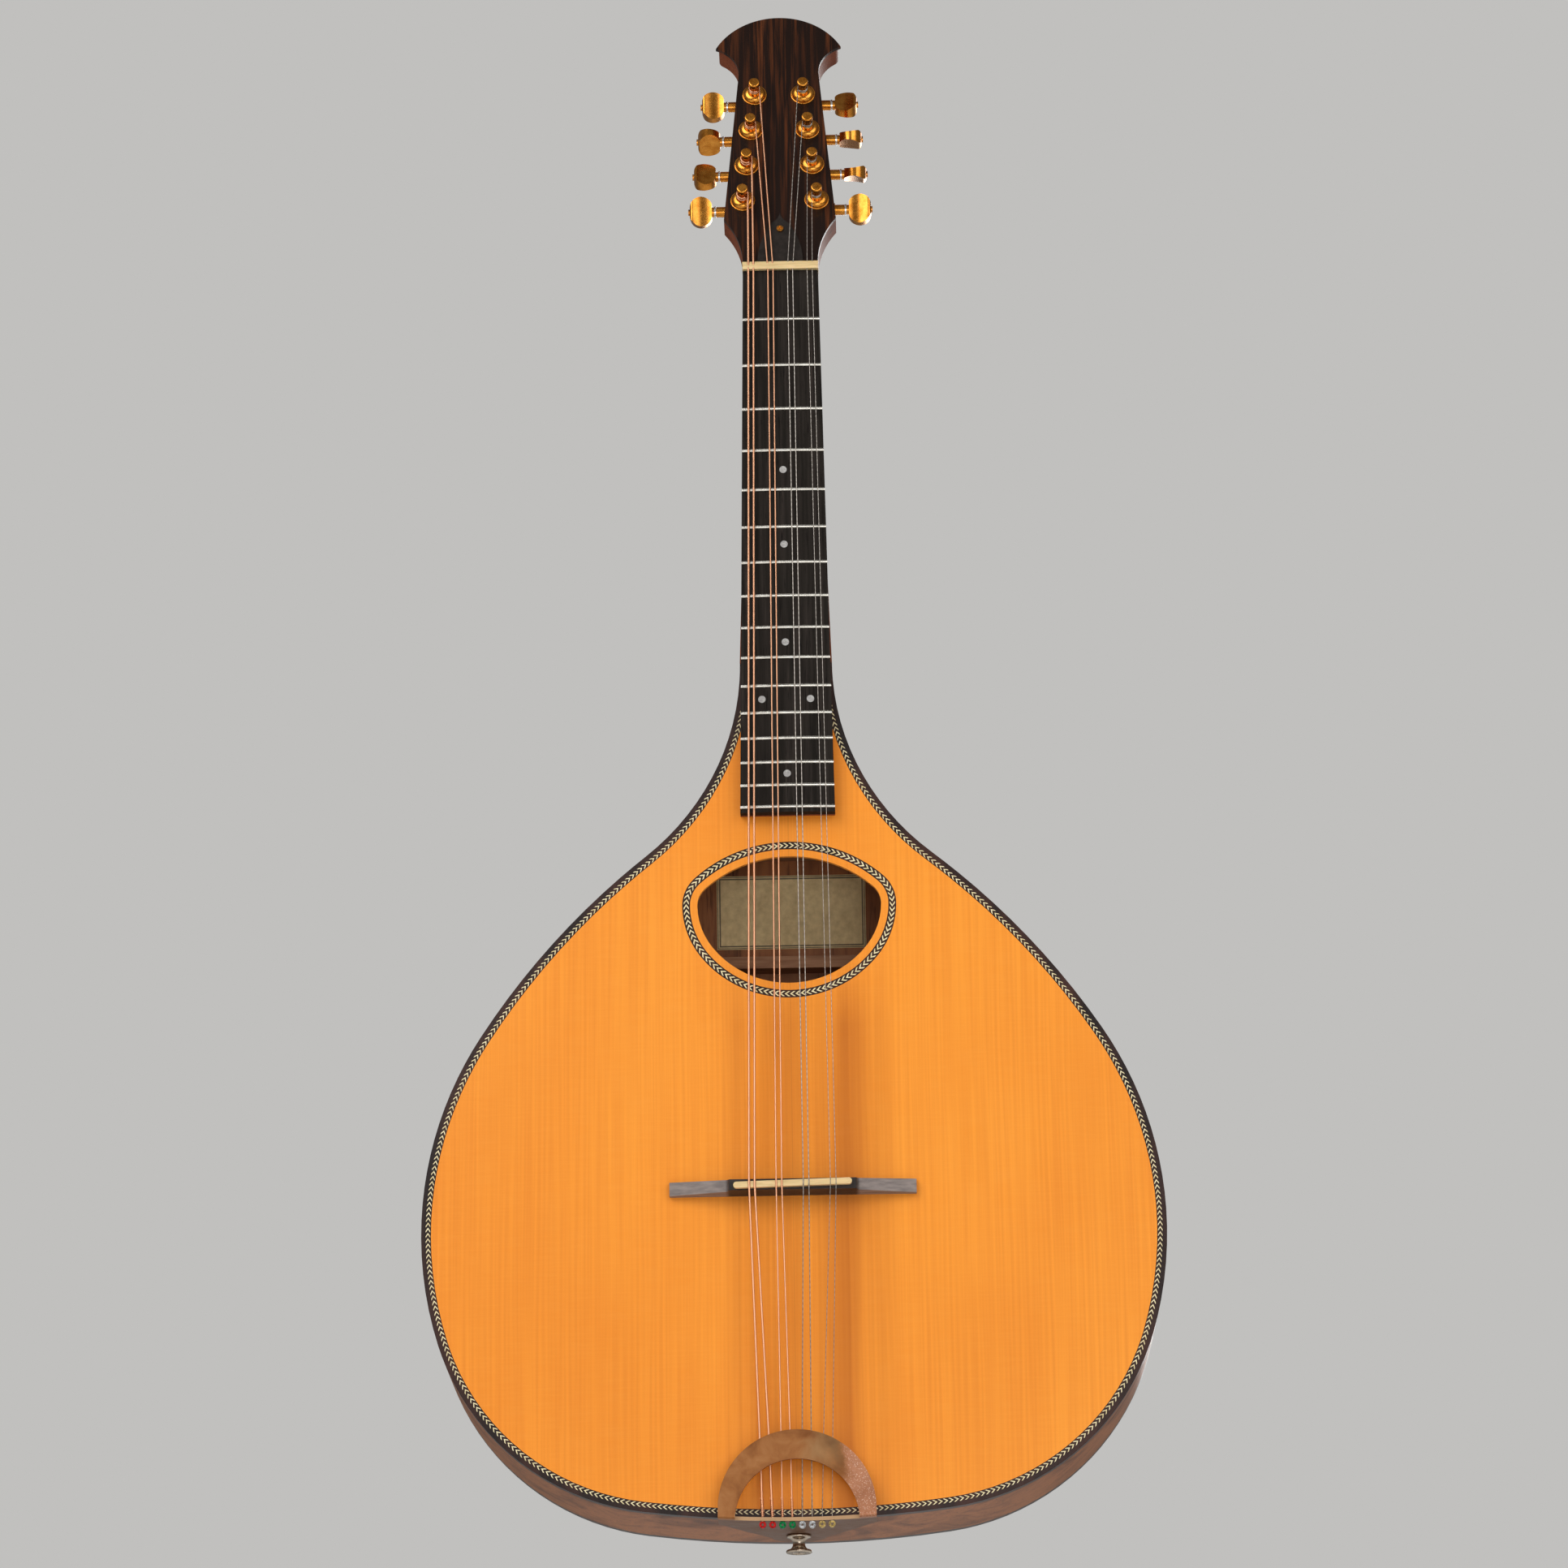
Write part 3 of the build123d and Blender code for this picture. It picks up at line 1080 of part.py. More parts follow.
def post():
    """The string post: capped, waisted where the string winds, stepped down for its gear wheel."""
    foot = GEAR_MIDDLE - GEAR_THICKNESS / 2
    shoulder = GEAR_MIDDLE + GEAR_THICKNESS / 2
    top, cap, waist = POST_TOP, POST_CAP_RADIUS, POST_WAIST_RADIUS
    profile = Face(
        Wire(
            [
                Edge.make_line((0, 0, foot), (GEAR_BORE, 0, foot)),
                Edge.make_line((GEAR_BORE, 0, foot), (GEAR_BORE, 0, shoulder)),
                Edge.make_line((GEAR_BORE, 0, shoulder), (POST_RADIUS, 0, shoulder)),
                Edge.make_line((POST_RADIUS, 0, shoulder), (POST_RADIUS, 0, WAIST_START - 0.8)),
                Edge.make_line((POST_RADIUS, 0, WAIST_START - 0.8), (waist, 0, WAIST_START)),
                Edge.make_line((waist, 0, WAIST_START), (waist, 0, WAIST_END)),
                Edge.make_line((waist, 0, WAIST_END), (cap, 0, WAIST_END + 1)),
                Edge.make_line((cap, 0, WAIST_END + 1), (cap, 0, top - 0.7)),
                Edge.make_three_point_arc(
                    (cap, 0, top - 0.7), (cap - 0.3, 0, top - 0.2), (cap - 0.9, 0, top)
                ),
                Edge.make_line((cap - 0.9, 0, top), (0, 0, top)),
                Edge.make_line((0, 0, top), (0, 0, foot)),
            ]
        )
    )
    body = revolve(profile, Axis.Z, 360)
    body -= rod((-5, 0, STRING_HOLE_HEIGHT), (5, 0, STRING_HOLE_HEIGHT), STRING_HOLE_RADIUS)
    body -= rod((0, 0, foot - 1), (0, 0, foot + 2.6), SMALL_SCREW_RADIUS + FIT)
    return body


def gear_screw():
    foot = GEAR_MIDDLE - GEAR_THICKNESS / 2
    head = rod((0, 0, foot - 1.2), (0, 0, foot), 2.7)
    return head + rod((0, 0, foot - 0.1), (0, 0, foot + 2.4), SMALL_SCREW_RADIUS)


def tuner_post():
    return [post(), gear_wheel(), gear_screw()]


def worm_thread():
    """A trapezoid swept along a helix about +Z, one gear pitch for each turn."""
    height = WORM_TURNS * WORM_PITCH
    flank = tan(radians(TOOTH_ANGLE))
    sunk = WORM_ROOT - 0.25
    inner = TOOTH_WIDTH / 2 + (WORM_PITCH_RADIUS - sunk) * flank
    outer = TOOTH_WIDTH / 2 - WORM_THREAD_HEIGHT * flank
    path = Edge.make_helix(WORM_PITCH, height, WORM_PITCH_RADIUS)
    corners = [(sunk, 0, -inner), (WORM_OUTER, 0, -outer), (WORM_OUTER, 0, outer), (sunk, 0, inner)]
    thread = sweep(Face(Wire.make_polygon(corners)), path=path, is_frenet=True)
    return Pos(0, 0, -height / 2) * thread


def worm_shaft():
    """The shaft with its worm, turned so that the thread straddles the nearest gear tooth."""
    core = Cylinder(WORM_ROOT, 2 * WORM_HALF)
    worm = core + worm_thread()
    # The thread crosses the worm's middle at half its turns; half a turn more puts a gap there.
    spin = -360 * (WORM_TURNS / 2 + 0.5)
    along_x = Plane(origin=(0, WORM_OFFSET, GEAR_MIDDLE), x_dir=(0, -1, 0), z_dir=(1, 0, 0))
    worm = along_x * (Rot(0, 0, spin) * worm)
    centre = (WORM_OFFSET, GEAR_MIDDLE)
    shaft_end = BUTTON_FROM_POST + SHAFT_IN_BUTTON
    shaft = rod((WORM_HALF, *centre), (shaft_end, *centre), SHAFT_RADIUS)
    tail_end = -WORM_HALF - SHAFT_TAIL_LENGTH
    tail = rod((tail_end, *centre), (-WORM_HALF, *centre), SHAFT_TAIL_RADIUS)
    pilot = rod((shaft_end - 4, *centre), (shaft_end + 1, *centre), BUTTON_SCREW_RADIUS + FIT)
    return (worm + shaft + tail) - pilot


def button_body():
    """A kidney-like button with scooped faces, drawn on its shaft along +X from its own middle."""
    a, h = BUTTON_HALF_LENGTH, BUTTON_HALF_HEIGHT
    plan_edges = [Edge.make_line((-a, -0.45 * h, 0), (-a, 0.45 * h, 0))]
    edge_on = [Edge.make_line((x, 0, -y), (x, 0, y)) for x, y in ((-a, 3.0), (a, 2.2))]
    for side in (-1, 1):
        lobe = (0.1 * a, side * h, 0)
        near = ((-a, 0.45 * side * h, 0), (-0.62 * a, 0.86 * side * h, 0), lobe)
        far = (lobe, (0.84 * a, 0.62 * side * h, 0), (a, 0, 0))
        plan_edges += [Edge.make_three_point_arc(*near), Edge.make_three_point_arc(*far)]
        swell = (0.72 * a, 0, side * 3.9)
        scoop = ((-a, 0, side * 3.0), (-0.1 * a, 0, side * 2.5), swell)
        tip = (swell, (0.93 * a, 0, side * 3.4), (a, 0, side * 2.2))
        edge_on += [Edge.make_three_point_arc(*scoop), Edge.make_three_point_arc(*tip)]
    flat = extrude(Face(Wire(plan_edges)), amount=10, dir=(0, 0, 1)).translate((0, 0, -5))
    deep = extrude(Face(Wire(edge_on)), amount=2 * h + 2, dir=(0, 1, 0)).translate((0, -h - 1, 0))
    shape = flat & deep
    shape += rod((-a - BUTTON_COLLAR, 0, 0), (-a + 0.5, 0, 0), BUTTON_COLLAR_RADIUS)
    shape -= rod((-a - BUTTON_COLLAR - 1, 0, 0), (BUTTON_BORE_DEPTH - a, 0, 0), SHAFT_RADIUS)
    return shape - rod((2, 0, 0), (a + 1, 0, 0), BUTTON_SCREW_RADIUS + FIT)


def tuner_button(turn):
    """The button, the nylon washer between it and the case, and the screw in its end."""
    centre = Pos(BUTTON_FROM_POST, WORM_OFFSET, GEAR_MIDDLE)
    body = centre * (Rot(turn, 0, 0) * button_body())
    end = BUTTON_FROM_POST + BUTTON_HALF_LENGTH
    line = (WORM_OFFSET, GEAR_MIDDLE)
    collar_start = BUTTON_FROM_POST - BUTTON_HALF_LENGTH - BUTTON_COLLAR
    washer = rod((BUTTON_WASHER_START, *line), (collar_start, *line), BUTTON_WASHER_RADIUS)
    washer -= rod((0, *line), (end, *line), SHAFT_RADIUS)
    head = rod((end, *line), (end + 0.9, *line), BUTTON_SCREW_HEAD)
    shank = rod((BUTTON_FROM_POST - 0.5, *line), (end + 0.1, *line), BUTTON_SCREW_RADIUS)
    slots = [Pos(end + 0.9, *line) * (Rot(a, 0, 0) * Box(0.9, 2.4, 0.5)) for a in (45, 135)]
    return [body, washer, (head + shank) - slots]


# ---- The strings -------------------------------------------------------------------------------
def nut_height(i):
    """y of a string's centre where it leaves the nut."""
    return Y_BOARD - NUT_STRING_HEIGHT - STRING_DIAMETERS[i] / 2


def saddle_point(i):
    x = SADDLE_X[i]
    z = Z_SADDLE + x * tan(radians(SADDLE_SLANT))
    return (x, SADDLE_TOP - 0.25 * STRING_DIAMETERS[i], z)


def arch_point(i):
    """Where the string bends round the outer edge of the tailpiece's arch, from underneath."""
    x = 0.8 * TAIL_X[i] + 0.2 * SADDLE_X[i]
    y = ARCH_Y + TAILPIECE_THICKNESS + STRING_DIAMETERS[i] / 2 + FIT
    return (x, y, ARCH_CENTRE_Z + sqrt(ARCH_OUTER_RADIUS**2 - x**2) + STRING_DIAMETERS[i])


def string_route(i):
    """The string's bends in order: tailpiece, arch, saddle, nut and post."""
    tail = (TAIL_X[i], HOLE_Y, flange_surface(TAIL_X[i]) + 0.1)
    return [tail, arch_point(i), saddle_point(i), (NUT_X[i], nut_height(i), Z_NUT), string_end(i)]


def string_grooves(i, bend):
    """Cutters that leave the string a running gap on both sides of one of its bends."""
    route = string_route(i)
    radius = STRING_DIAMETERS[i] / 2 + GROOVE_GAP
    at = Vector(*route[bend])
    reach = 12.0
    cutters = [Pos(*route[bend]) * Sphere(radius + GROOVE_BEND_EASE)]
    for other in (route[bend - 1], route[bend + 1]):
        end = at + (Vector(*other) - at).normalized() * reach
        cutters.append(rod(tuple(at), tuple(end), radius))
    return cutters


def string_post(i):
    """Which post a string goes to: (side, post number from the nut)."""
    bass = i < STRING_COUNT / 2
    return (-1, i) if bass else (1, STRING_COUNT - 1 - i)


def wind_radius(i):
    return POST_WAIST_RADIUS + WIND_GAP + STRING_DIAMETERS[i] / 2


def string_end(i):
    """Where the string meets its post: the tangent from the nut to the winding's inner side."""
    side, number = string_post(i)
    x, along = tuner_places()[number]
    start = HEAD.to_local_coords(Vector(NUT_X[i], nut_height(i), Z_NUT))
    dx, dy = side * x - start.X, along - start.Y
    reach = hypot(dx, dy)
    heading = atan2(dy, dx) + side * asin(wind_radius(i) / reach)
    tangent = sqrt(reach**2 - wind_radius(i) ** 2)
    meet_x, meet_along = start.X + tangent * cos(heading), start.Y + tangent * sin(heading)
    return tuple(head_point(meet_x, meet_along, STRING_HOLE_HEIGHT))


def winding(i):
    """The turn of string round its post, in the plane that the string arrives in."""
    side, number = string_post(i)
    x, along = tuner_places()[number]
    centre = Vector(*head_point(side * x, along, STRING_HOLE_HEIGHT))
    meet = Vector(*string_end(i))
    nut_point = Vector(NUT_X[i], nut_height(i), Z_NUT)
    ahead = (meet - nut_point).normalized() * wind_radius(i)

    def at(angle):
        return centre + (meet - centre) * cos(radians(angle)) + ahead * sin(radians(angle))

    return Edge.make_three_point_arc(at(0), at(WIND_SWEEP / 2), at(WIND_SWEEP))


def ball_end(i):
    """The little grooved barrel that stops the string at the tailpiece, with its hole."""
    z = flange_surface(TAIL_X[i]) - BALL_RADIUS - 0.05

    def barrel(radius, length):
        return rod((TAIL_X[i], HOLE_Y - length / 2, z), (TAIL_X[i], HOLE_Y + length / 2, z), radius)

    return barrel(BALL_RADIUS, BALL_LENGTH) - barrel(BALL_HOLE_RADIUS, 2 * BALL_LENGTH)


def string(i):
    """One string as a single round wire from the tailpiece to its post, and its ball end."""
    run = FilletPolyline(*string_route(i), radius=BEND_RADIUS)
    path = Wire([*run.edges(), winding(i)])
    start = Plane(path @ 0, z_dir=path % 0)
    wire = sweep(Face(Wire(Edge.make_circle(STRING_DIAMETERS[i] / 2, start))), path=path)
    return [wire, ball_end(i)]


# ---- Writing the sub-parts ------------------------------------------------------------------
def placed(solids, x, along, side):
    made = [HEAD * (Pos(x, along, 0) * solid) for solid in solids]
    return made if side > 0 else [mirror(solid, Plane.YZ) for solid in made]


def write(name, shapes):
    """One STEP file for a node: all its separate solids."""
    shapes = shapes if isinstance(shapes, list) else [shapes]
    solids = [solid for shape in shapes for solid in shape.solids()]
    export_step(Compound(children=solids), f"parts/{name}.step")


def write_tuners():
    worm = worm_shaft()
    for side, side_name in ((-1, "bass"), (1, "treble")):
        for number, (x, along) in enumerate(tuner_places()):
            name = f"tuner_{side_name}_{number + 1}"
            turn = BUTTON_TURNS[side_name][number]
            write(f"{name}_post", placed(tuner_post(), x, along, side))
            write(f"{name}_worm_shaft", placed([worm], x, along, side))
            write(f"{name}_button", placed(tuner_button(turn), x, along, side))
    write("tuner_housings", both_sides(tuner_housing))
    write("tuner_base_plates", both_sides(tuner_base_plate))
    write("tuner_bushings", [s for k in (0, 1) for s in both_sides(lambda: tuner_bushing()[k])])
    write("tuner_mounting_screws", both_sides(mount_screw))


def main():
    os.makedirs("parts", exist_ok=True)
    write("soundboard", soundboard())
    write("top_purfling", top_purfling())
    write("soundhole_rosette", soundhole_rosette())
    write("top_binding", top_binding())
    write("back_binding", back_binding())
    write("back", back())
    write("rib_bass", rib(-1))
    write("rib_treble", rib(1))
    write("neck_block", neck_block())
    write("tail_block", tail_block())
    write("linings", linings())
    write("top_braces", top_braces())
    write("back_braces", back_braces())
    write("label", label())
    write("neck", neck())
    write("headplate", headplate())
    write("truss_rod", truss_rod())
    write("truss_rod_cover", truss_rod_cover())
    write("truss_cover_screw", truss_cover_screw())
    write("fingerboard", fingerboard())
    write("frets", frets())
    write("position_dots", position_dots())
    write("nut", nut())
    write("bridge", bridge())
    write("saddle", saddle())
    write("tailpiece", tailpiece())
    write("strap_button", strap_button())
    for course, (name, _) in enumerate(COURSES):
        write(f"strings_{name}", string(2 * course) + string(2 * course + 1))
    write_tuners()


main()
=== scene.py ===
from math import cos, hypot, pi, radians, sin, sqrt

import bmesh
import bpy
from mathutils import Matrix, Vector


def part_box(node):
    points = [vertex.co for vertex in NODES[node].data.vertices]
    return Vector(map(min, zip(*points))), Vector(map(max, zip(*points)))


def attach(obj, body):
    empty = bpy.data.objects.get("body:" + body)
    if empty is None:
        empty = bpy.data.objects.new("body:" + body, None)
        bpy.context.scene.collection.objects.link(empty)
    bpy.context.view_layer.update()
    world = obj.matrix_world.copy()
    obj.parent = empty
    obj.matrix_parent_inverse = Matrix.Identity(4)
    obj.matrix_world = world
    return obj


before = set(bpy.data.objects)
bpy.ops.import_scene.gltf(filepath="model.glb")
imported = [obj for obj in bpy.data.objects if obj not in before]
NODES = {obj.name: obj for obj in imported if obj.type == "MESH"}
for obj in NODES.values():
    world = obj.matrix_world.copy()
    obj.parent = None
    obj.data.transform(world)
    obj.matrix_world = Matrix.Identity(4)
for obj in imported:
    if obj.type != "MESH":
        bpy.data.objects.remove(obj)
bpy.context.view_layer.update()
MM = 0.001
COURSES = ("low_g", "d", "a", "high_e")

# ---- Places taken from the frame ------------------------------------------------------------
BODY_LOW, BODY_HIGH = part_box("top_binding")
LABEL_LOW, LABEL_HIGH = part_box("label")
ROSETTE_LOW, ROSETTE_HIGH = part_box("soundhole_rosette")
HALF_WIDTH = BODY_HIGH.x
Y_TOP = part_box("soundboard")[0].y
Z_TAIL = BODY_LOW.z
Z_NUT_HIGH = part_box("nut")[1].z
Y_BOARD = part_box("fingerboard")[0].y
BINDING_WIDTH = HALF_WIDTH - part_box("top_purfling")[1].x

# ---- Sizes that the CAD model has too --------------------------------------------------------
TOP_ARCH_DROP = 3.0 * MM
TOP_RADIUS = (HALF_WIDTH**2 + TOP_ARCH_DROP**2) / (2 * TOP_ARCH_DROP)
HEEL_HALF = 26.3 * MM
PURFLING_WIDTH = 3.4 * MM
BRIDGE_CROWN_HALF = 35.0 * MM
# The body outline's arcs: radii in half widths, sweeps in degrees.
OUTLINE_RADII = (3.12, 0.6626, 1.0, 2.07)
OUTLINE_SWEEPS = (7.5, 64.8, 50.4, 18.7)

# The soundhole: an oval of four quarters, and the rosette round it.
ROSETTE_GAP = 4.1 * MM
ROSETTE_WIDTH = 4.4 * MM
ROSETTE_GROW = ROSETTE_GAP + ROSETTE_WIDTH
SOUNDHOLE_HALF = ROSETTE_HIGH.x - ROSETTE_GROW
SOUNDHOLE_UP = 28.0 * MM
SOUNDHOLE_DOWN = ROSETTE_HIGH.z - ROSETTE_LOW.z - 2 * ROSETTE_GROW - SOUNDHOLE_UP
SWEEP_UP = radians(42.0)
SWEEP_DOWN = radians(52.0)
Z_HOLE = ROSETTE_LOW.z + ROSETTE_GROW + SOUNDHOLE_DOWN

# The tailpiece: an arch between two legs, with a bar below it that the strings pass through.
TAILPIECE_INNER = 34.0 * MM
BAR_FRONT = Y_TOP - 7.2 * MM
HOLE_Y = Y_TOP - 4.6 * MM
ARCH_CENTRE_Z = Z_TAIL + 4.4 * MM
ARCH_RADIUS = 43.2 * MM
ARCH_UNDERSIDE = Y_TOP - 8.85 * MM

# The strings, from the bass side: their thickness by course, and their places along the saddle and tail.
STRING_COUNT = 8
STRING_DIAMETERS = (1.22 * MM, 0.90 * MM, 0.56 * MM, 0.36 * MM)
COURSE_SPACING = 15.0 * MM
PAIR_SPACING = 3.1 * MM
SADDLE_X = [c * COURSE_SPACING + p * PAIR_SPACING for c in (-1.5, -0.5, 0.5, 1.5) for p in (-0.5, 0.5)]
TAIL_SPACING = 5.4 * MM
ARCH_SHARE = 0.2
BALL_TOP = Z_TAIL - 2.0 * MM

# The head, which leans back from the nut, and the tuner posts on it.
HEAD_ANGLE = radians(13.0)
HEAD_SET_BACK = 3.0 * MM
HEAD_ORIGIN = Vector((0, Y_BOARD + HEAD_SET_BACK, Z_NUT_HIGH))
TUNER_LOWEST_X = 21.7 * MM
TUNER_X_STEP = 2.45 * MM
TUNER_FIRST = 45.3 * MM
TUNER_SPACING = 25.6 * MM
WASHER_START = 16.2 * MM
WASHER_END = 17.35 * MM
STRING_HOLE_HEIGHT = 7.2 * MM
WAIST_RADIUS = 2.3 * MM
WAIST_START = 5.2 * MM
WIND_GAP = 0.2 * MM

# ---- The camera: its place, and how it is turned ---------------------------------------------
CAMERA_PLACE = Vector((0.0448, -3.0547, -0.4861))
CAMERA_PITCH = 16.93
CAMERA_YAW = 0.89
CAMERA_ROLL = 0.77
CAMERA_LENS = 127.5
CAMERA_SENSOR = 36.0
VIEW_REACH = 50.0


def make_camera():
    pitch, yaw, roll = (radians(-a) for a in (CAMERA_PITCH, CAMERA_YAW, CAMERA_ROLL))
    turn = Matrix.Rotation(roll, 3, "Y") @ Matrix.Rotation(pitch, 3, "X") @ Matrix.Rotation(yaw, 3, "Z")
    to_world = turn.transposed()
    right, forward, up = (to_world @ Vector(v) for v in ((1, 0, 0), (0, 1, 0), (0, 0, 1)))
    data = bpy.data.cameras.new("camera")
    data.lens = CAMERA_LENS
    data.sensor_width = CAMERA_SENSOR
    data.clip_end = VIEW_REACH
    camera = bpy.data.objects.new("camera", data)
    bpy.context.scene.collection.objects.link(camera)
    facing = Matrix((right, up, -forward)).transposed().to_4x4()
    camera.matrix_world = Matrix.Translation(CAMERA_PLACE) @ facing
    bpy.context.scene.camera = camera


# ---- Building node materials ------------------------------------------------------------------
class Finish:
    """A node material under construction. Its methods add nodes and return their outputs."""

    def __init__(self, name, roughness=0.5, metallic=0.0, coat=0.0, coat_roughness=0.1, specular=0.5):
        self.material = bpy.data.materials.new(name)
        self.material.use_nodes = True
        self.tree = self.material.node_tree
        self.shader = self.tree.nodes["Principled BSDF"]
        self.shader.inputs["Roughness"].default_value = roughness
        self.shader.inputs["Metallic"].default_value = metallic
        self.shader.inputs["Coat Weight"].default_value = coat
        self.shader.inputs["Coat Roughness"].default_value = coat_roughness
        self.shader.inputs["Specular IOR Level"].default_value = specular

    def add(self, kind, **settings):
        node = self.tree.nodes.new(kind)
        for key, value in settings.items():
            setattr(node, key, value)
        return node

    def put(self, socket, value):
        if isinstance(value, bpy.types.NodeSocket):
            self.tree.links.new(value, socket)
        else:
            socket.default_value = value

    def place(self, stretch=(1, 1, 1)):
        """The point in metres, stretched along each axis."""
        coords = self.add("ShaderNodeTexCoord")
        mapping = self.add("ShaderNodeMapping")
        mapping.inputs["Scale"].default_value = stretch
        self.put(mapping.inputs["Vector"], coords.outputs["Object"])
        return mapping.outputs["Vector"]

    def axes(self):
        split = self.add("ShaderNodeSeparateXYZ")
        self.put(split.inputs[0], self.place())
        return split.outputs

    def noise(self, stretch, detail, roughness=0.55, distortion=0.0):
        """Noise from 0 to 1, its scale along each axis in cells a metre."""
        node = self.add("ShaderNodeTexNoise")
        self.put(node.inputs["Vector"], self.place(stretch))
        node.inputs["Scale"].default_value = 1.0
        node.inputs["Detail"].default_value = detail
        node.inputs["Roughness"].default_value = roughness
        node.inputs["Distortion"].default_value = distortion
        return node.outputs["Fac"]

    def math(self, operation, a, b=0.0):
        node = self.add("ShaderNodeMath", operation=operation)
        self.put(node.inputs[0], a)
        self.put(node.inputs[1], b)
        return node.outputs[0]

    def spread(self, value, low, high, to_low=0.0, to_high=1.0):
        """The value's stretch from low to high, made into another, and clamped."""
        node = self.add("ShaderNodeMapRange", clamp=True)
        for socket, number in zip(node.inputs, (value, low, high, to_low, to_high)):
            self.put(socket, number)
        return node.outputs[0]

    def ramp(self, value, *stops):
        """Colours along 0 to 1: each stop is (place, (red, green, blue))."""
        node = self.add("ShaderNodeValToRGB")
        elements = node.color_ramp.elements
        while len(elements) < len(stops):
            elements.new(0.5)
        for element, (place, colour) in zip(elements, stops):
            element.position = place
            element.color = (*colour, 1)
        self.put(node.inputs[0], value)
        return node.outputs[0]

    def mix(self, share, a, b, blend="MIX"):
        node = self.add("ShaderNodeMix", data_type="RGBA", blend_type=blend)
        self.put(node.inputs[0], share)
        for socket, value in ((node.inputs[6], a), (node.inputs[7], b)):
            self.put(socket, value if isinstance(value, bpy.types.NodeSocket) else (*value, 1))
        return node.outputs[2]

    def colour(self, value):
        self.put(self.shader.inputs["Base Color"], value)

    def rough(self, value):
        self.put(self.shader.inputs["Roughness"], value)

    def bump(self, height, depth, strength=1.0):
        node = self.add("ShaderNodeBump")
        node.inputs["Strength"].default_value = strength
        node.inputs["Distance"].default_value = depth
        self.put(node.inputs["Height"], height)
        self.put(self.shader.inputs["Normal"], node.outputs[0])

    def on(self, *names):
        for name in names:
            slots = NODES[name].data.materials
            slots.clear()
            slots.append(self.material)
        return self


# ---- Woods ---------------------------------------------------------------------------------
GRAIN_WANDER = 8.0 * MM
GRAIN_LINES = 620.0
GRAIN_STRETCH = 0.012
SEAM_HALF = 0.4 * MM
# Stains below the soundhole: where each is darkest and how far it spreads, and where they fade in.
STAIN_LEFT_X, STAIN_LEFT_REACH = -12.0 * MM, 28.0 * MM
STAIN_RIGHT_X, STAIN_RIGHT_REACH = 30.0 * MM, 30.0 * MM
STAIN_TOP, STAIN_FULL = 0.33, 0.29
# Where the bridge's near-black crown blends into the grey painted highlight on its wings.
WING_HIGHLIGHT_BLEND = 2.5 * MM


def spruce():
    """Golden spruce: fine straight grain mirrored at the centre seam, silk across it, stains by it."""
    wood = Finish("spruce_top", roughness=0.42, coat=0.15, coat_roughness=0.2, specular=0.25)
    x, _, z = wood.axes()
    lines_place = wood.add("ShaderNodeCombineXYZ")
    drift = wood.noise((3, 1, 2.2), 2)
    mirrored = wood.math("ABSOLUTE", x)
    wander = wood.math("MULTIPLY_ADD", wood.math("SUBTRACT", drift, 0.5), GRAIN_WANDER)
    wood.put(wander.node.inputs[2], mirrored)
    wood.put(lines_place.inputs[0], wander)
    wood.put(lines_place.inputs[2], wood.math("MULTIPLY", z, GRAIN_STRETCH))
    grain = wood.add("ShaderNodeTexNoise")
    wood.put(grain.inputs["Vector"], lines_place.outputs[0])
    grain.inputs["Scale"].default_value = GRAIN_LINES
    grain.inputs["Detail"].default_value = 3.0
    lines = wood.spread(grain.outputs["Fac"], 0.36, 0.66)
    silk = wood.spread(wood.noise((55, 1, 900), 3, 0.6), 0.42, 0.72)
    patches = wood.noise((5, 1, 3.0), 3)
    base = wood.ramp(
        patches,
        (0.30, (0.82, 0.250, 0.019)),
        (0.52, (0.89, 0.300, 0.026)),
        (0.74, (0.93, 0.340, 0.034)),
    )
    grained = wood.mix(wood.math("MULTIPLY", lines, 0.28), base, (0.62, 0.140, 0.006))
    silky = wood.mix(wood.math("MULTIPLY", silk, 0.10), grained, (1.0, 0.42, 0.05))
    # Under the strings the finish has gone darker in soft streaks, most of all left of the seam.
    streaks = wood.noise((60, 1, 2.0), 3, 0.5)
    from_left = wood.math("ABSOLUTE", wood.math("SUBTRACT", x, STAIN_LEFT_X))
    from_right = wood.math("ABSOLUTE", wood.math("SUBTRACT", x, STAIN_RIGHT_X))
    left = wood.spread(from_left, 0.0, STAIN_LEFT_REACH, 1.0, 0.0)
    right = wood.spread(from_right, 0.0, STAIN_RIGHT_REACH, 0.7, 0.0)
    below_hole = wood.spread(z, STAIN_TOP, STAIN_FULL)
    stained = wood.math("MULTIPLY", wood.math("MAXIMUM", left, right), wood.spread(streaks, 0.34, 0.62))
    stained = wood.math("MULTIPLY", stained, below_hole)
    worn = wood.mix(stained, silky, (0.44, 0.105, 0.006))
    seam = wood.spread(wood.math("ABSOLUTE", x), 0.0, SEAM_HALF, 0.35, 0.0)
    wood.colour(wood.mix(seam, worn, (0.45, 0.13, 0.015)))
    wood.rough(wood.spread(silk, 0.0, 1.0, 0.34, 0.44))
    wood.bump(lines, 0.00002, 0.35)
    return wood.on("soundboard")


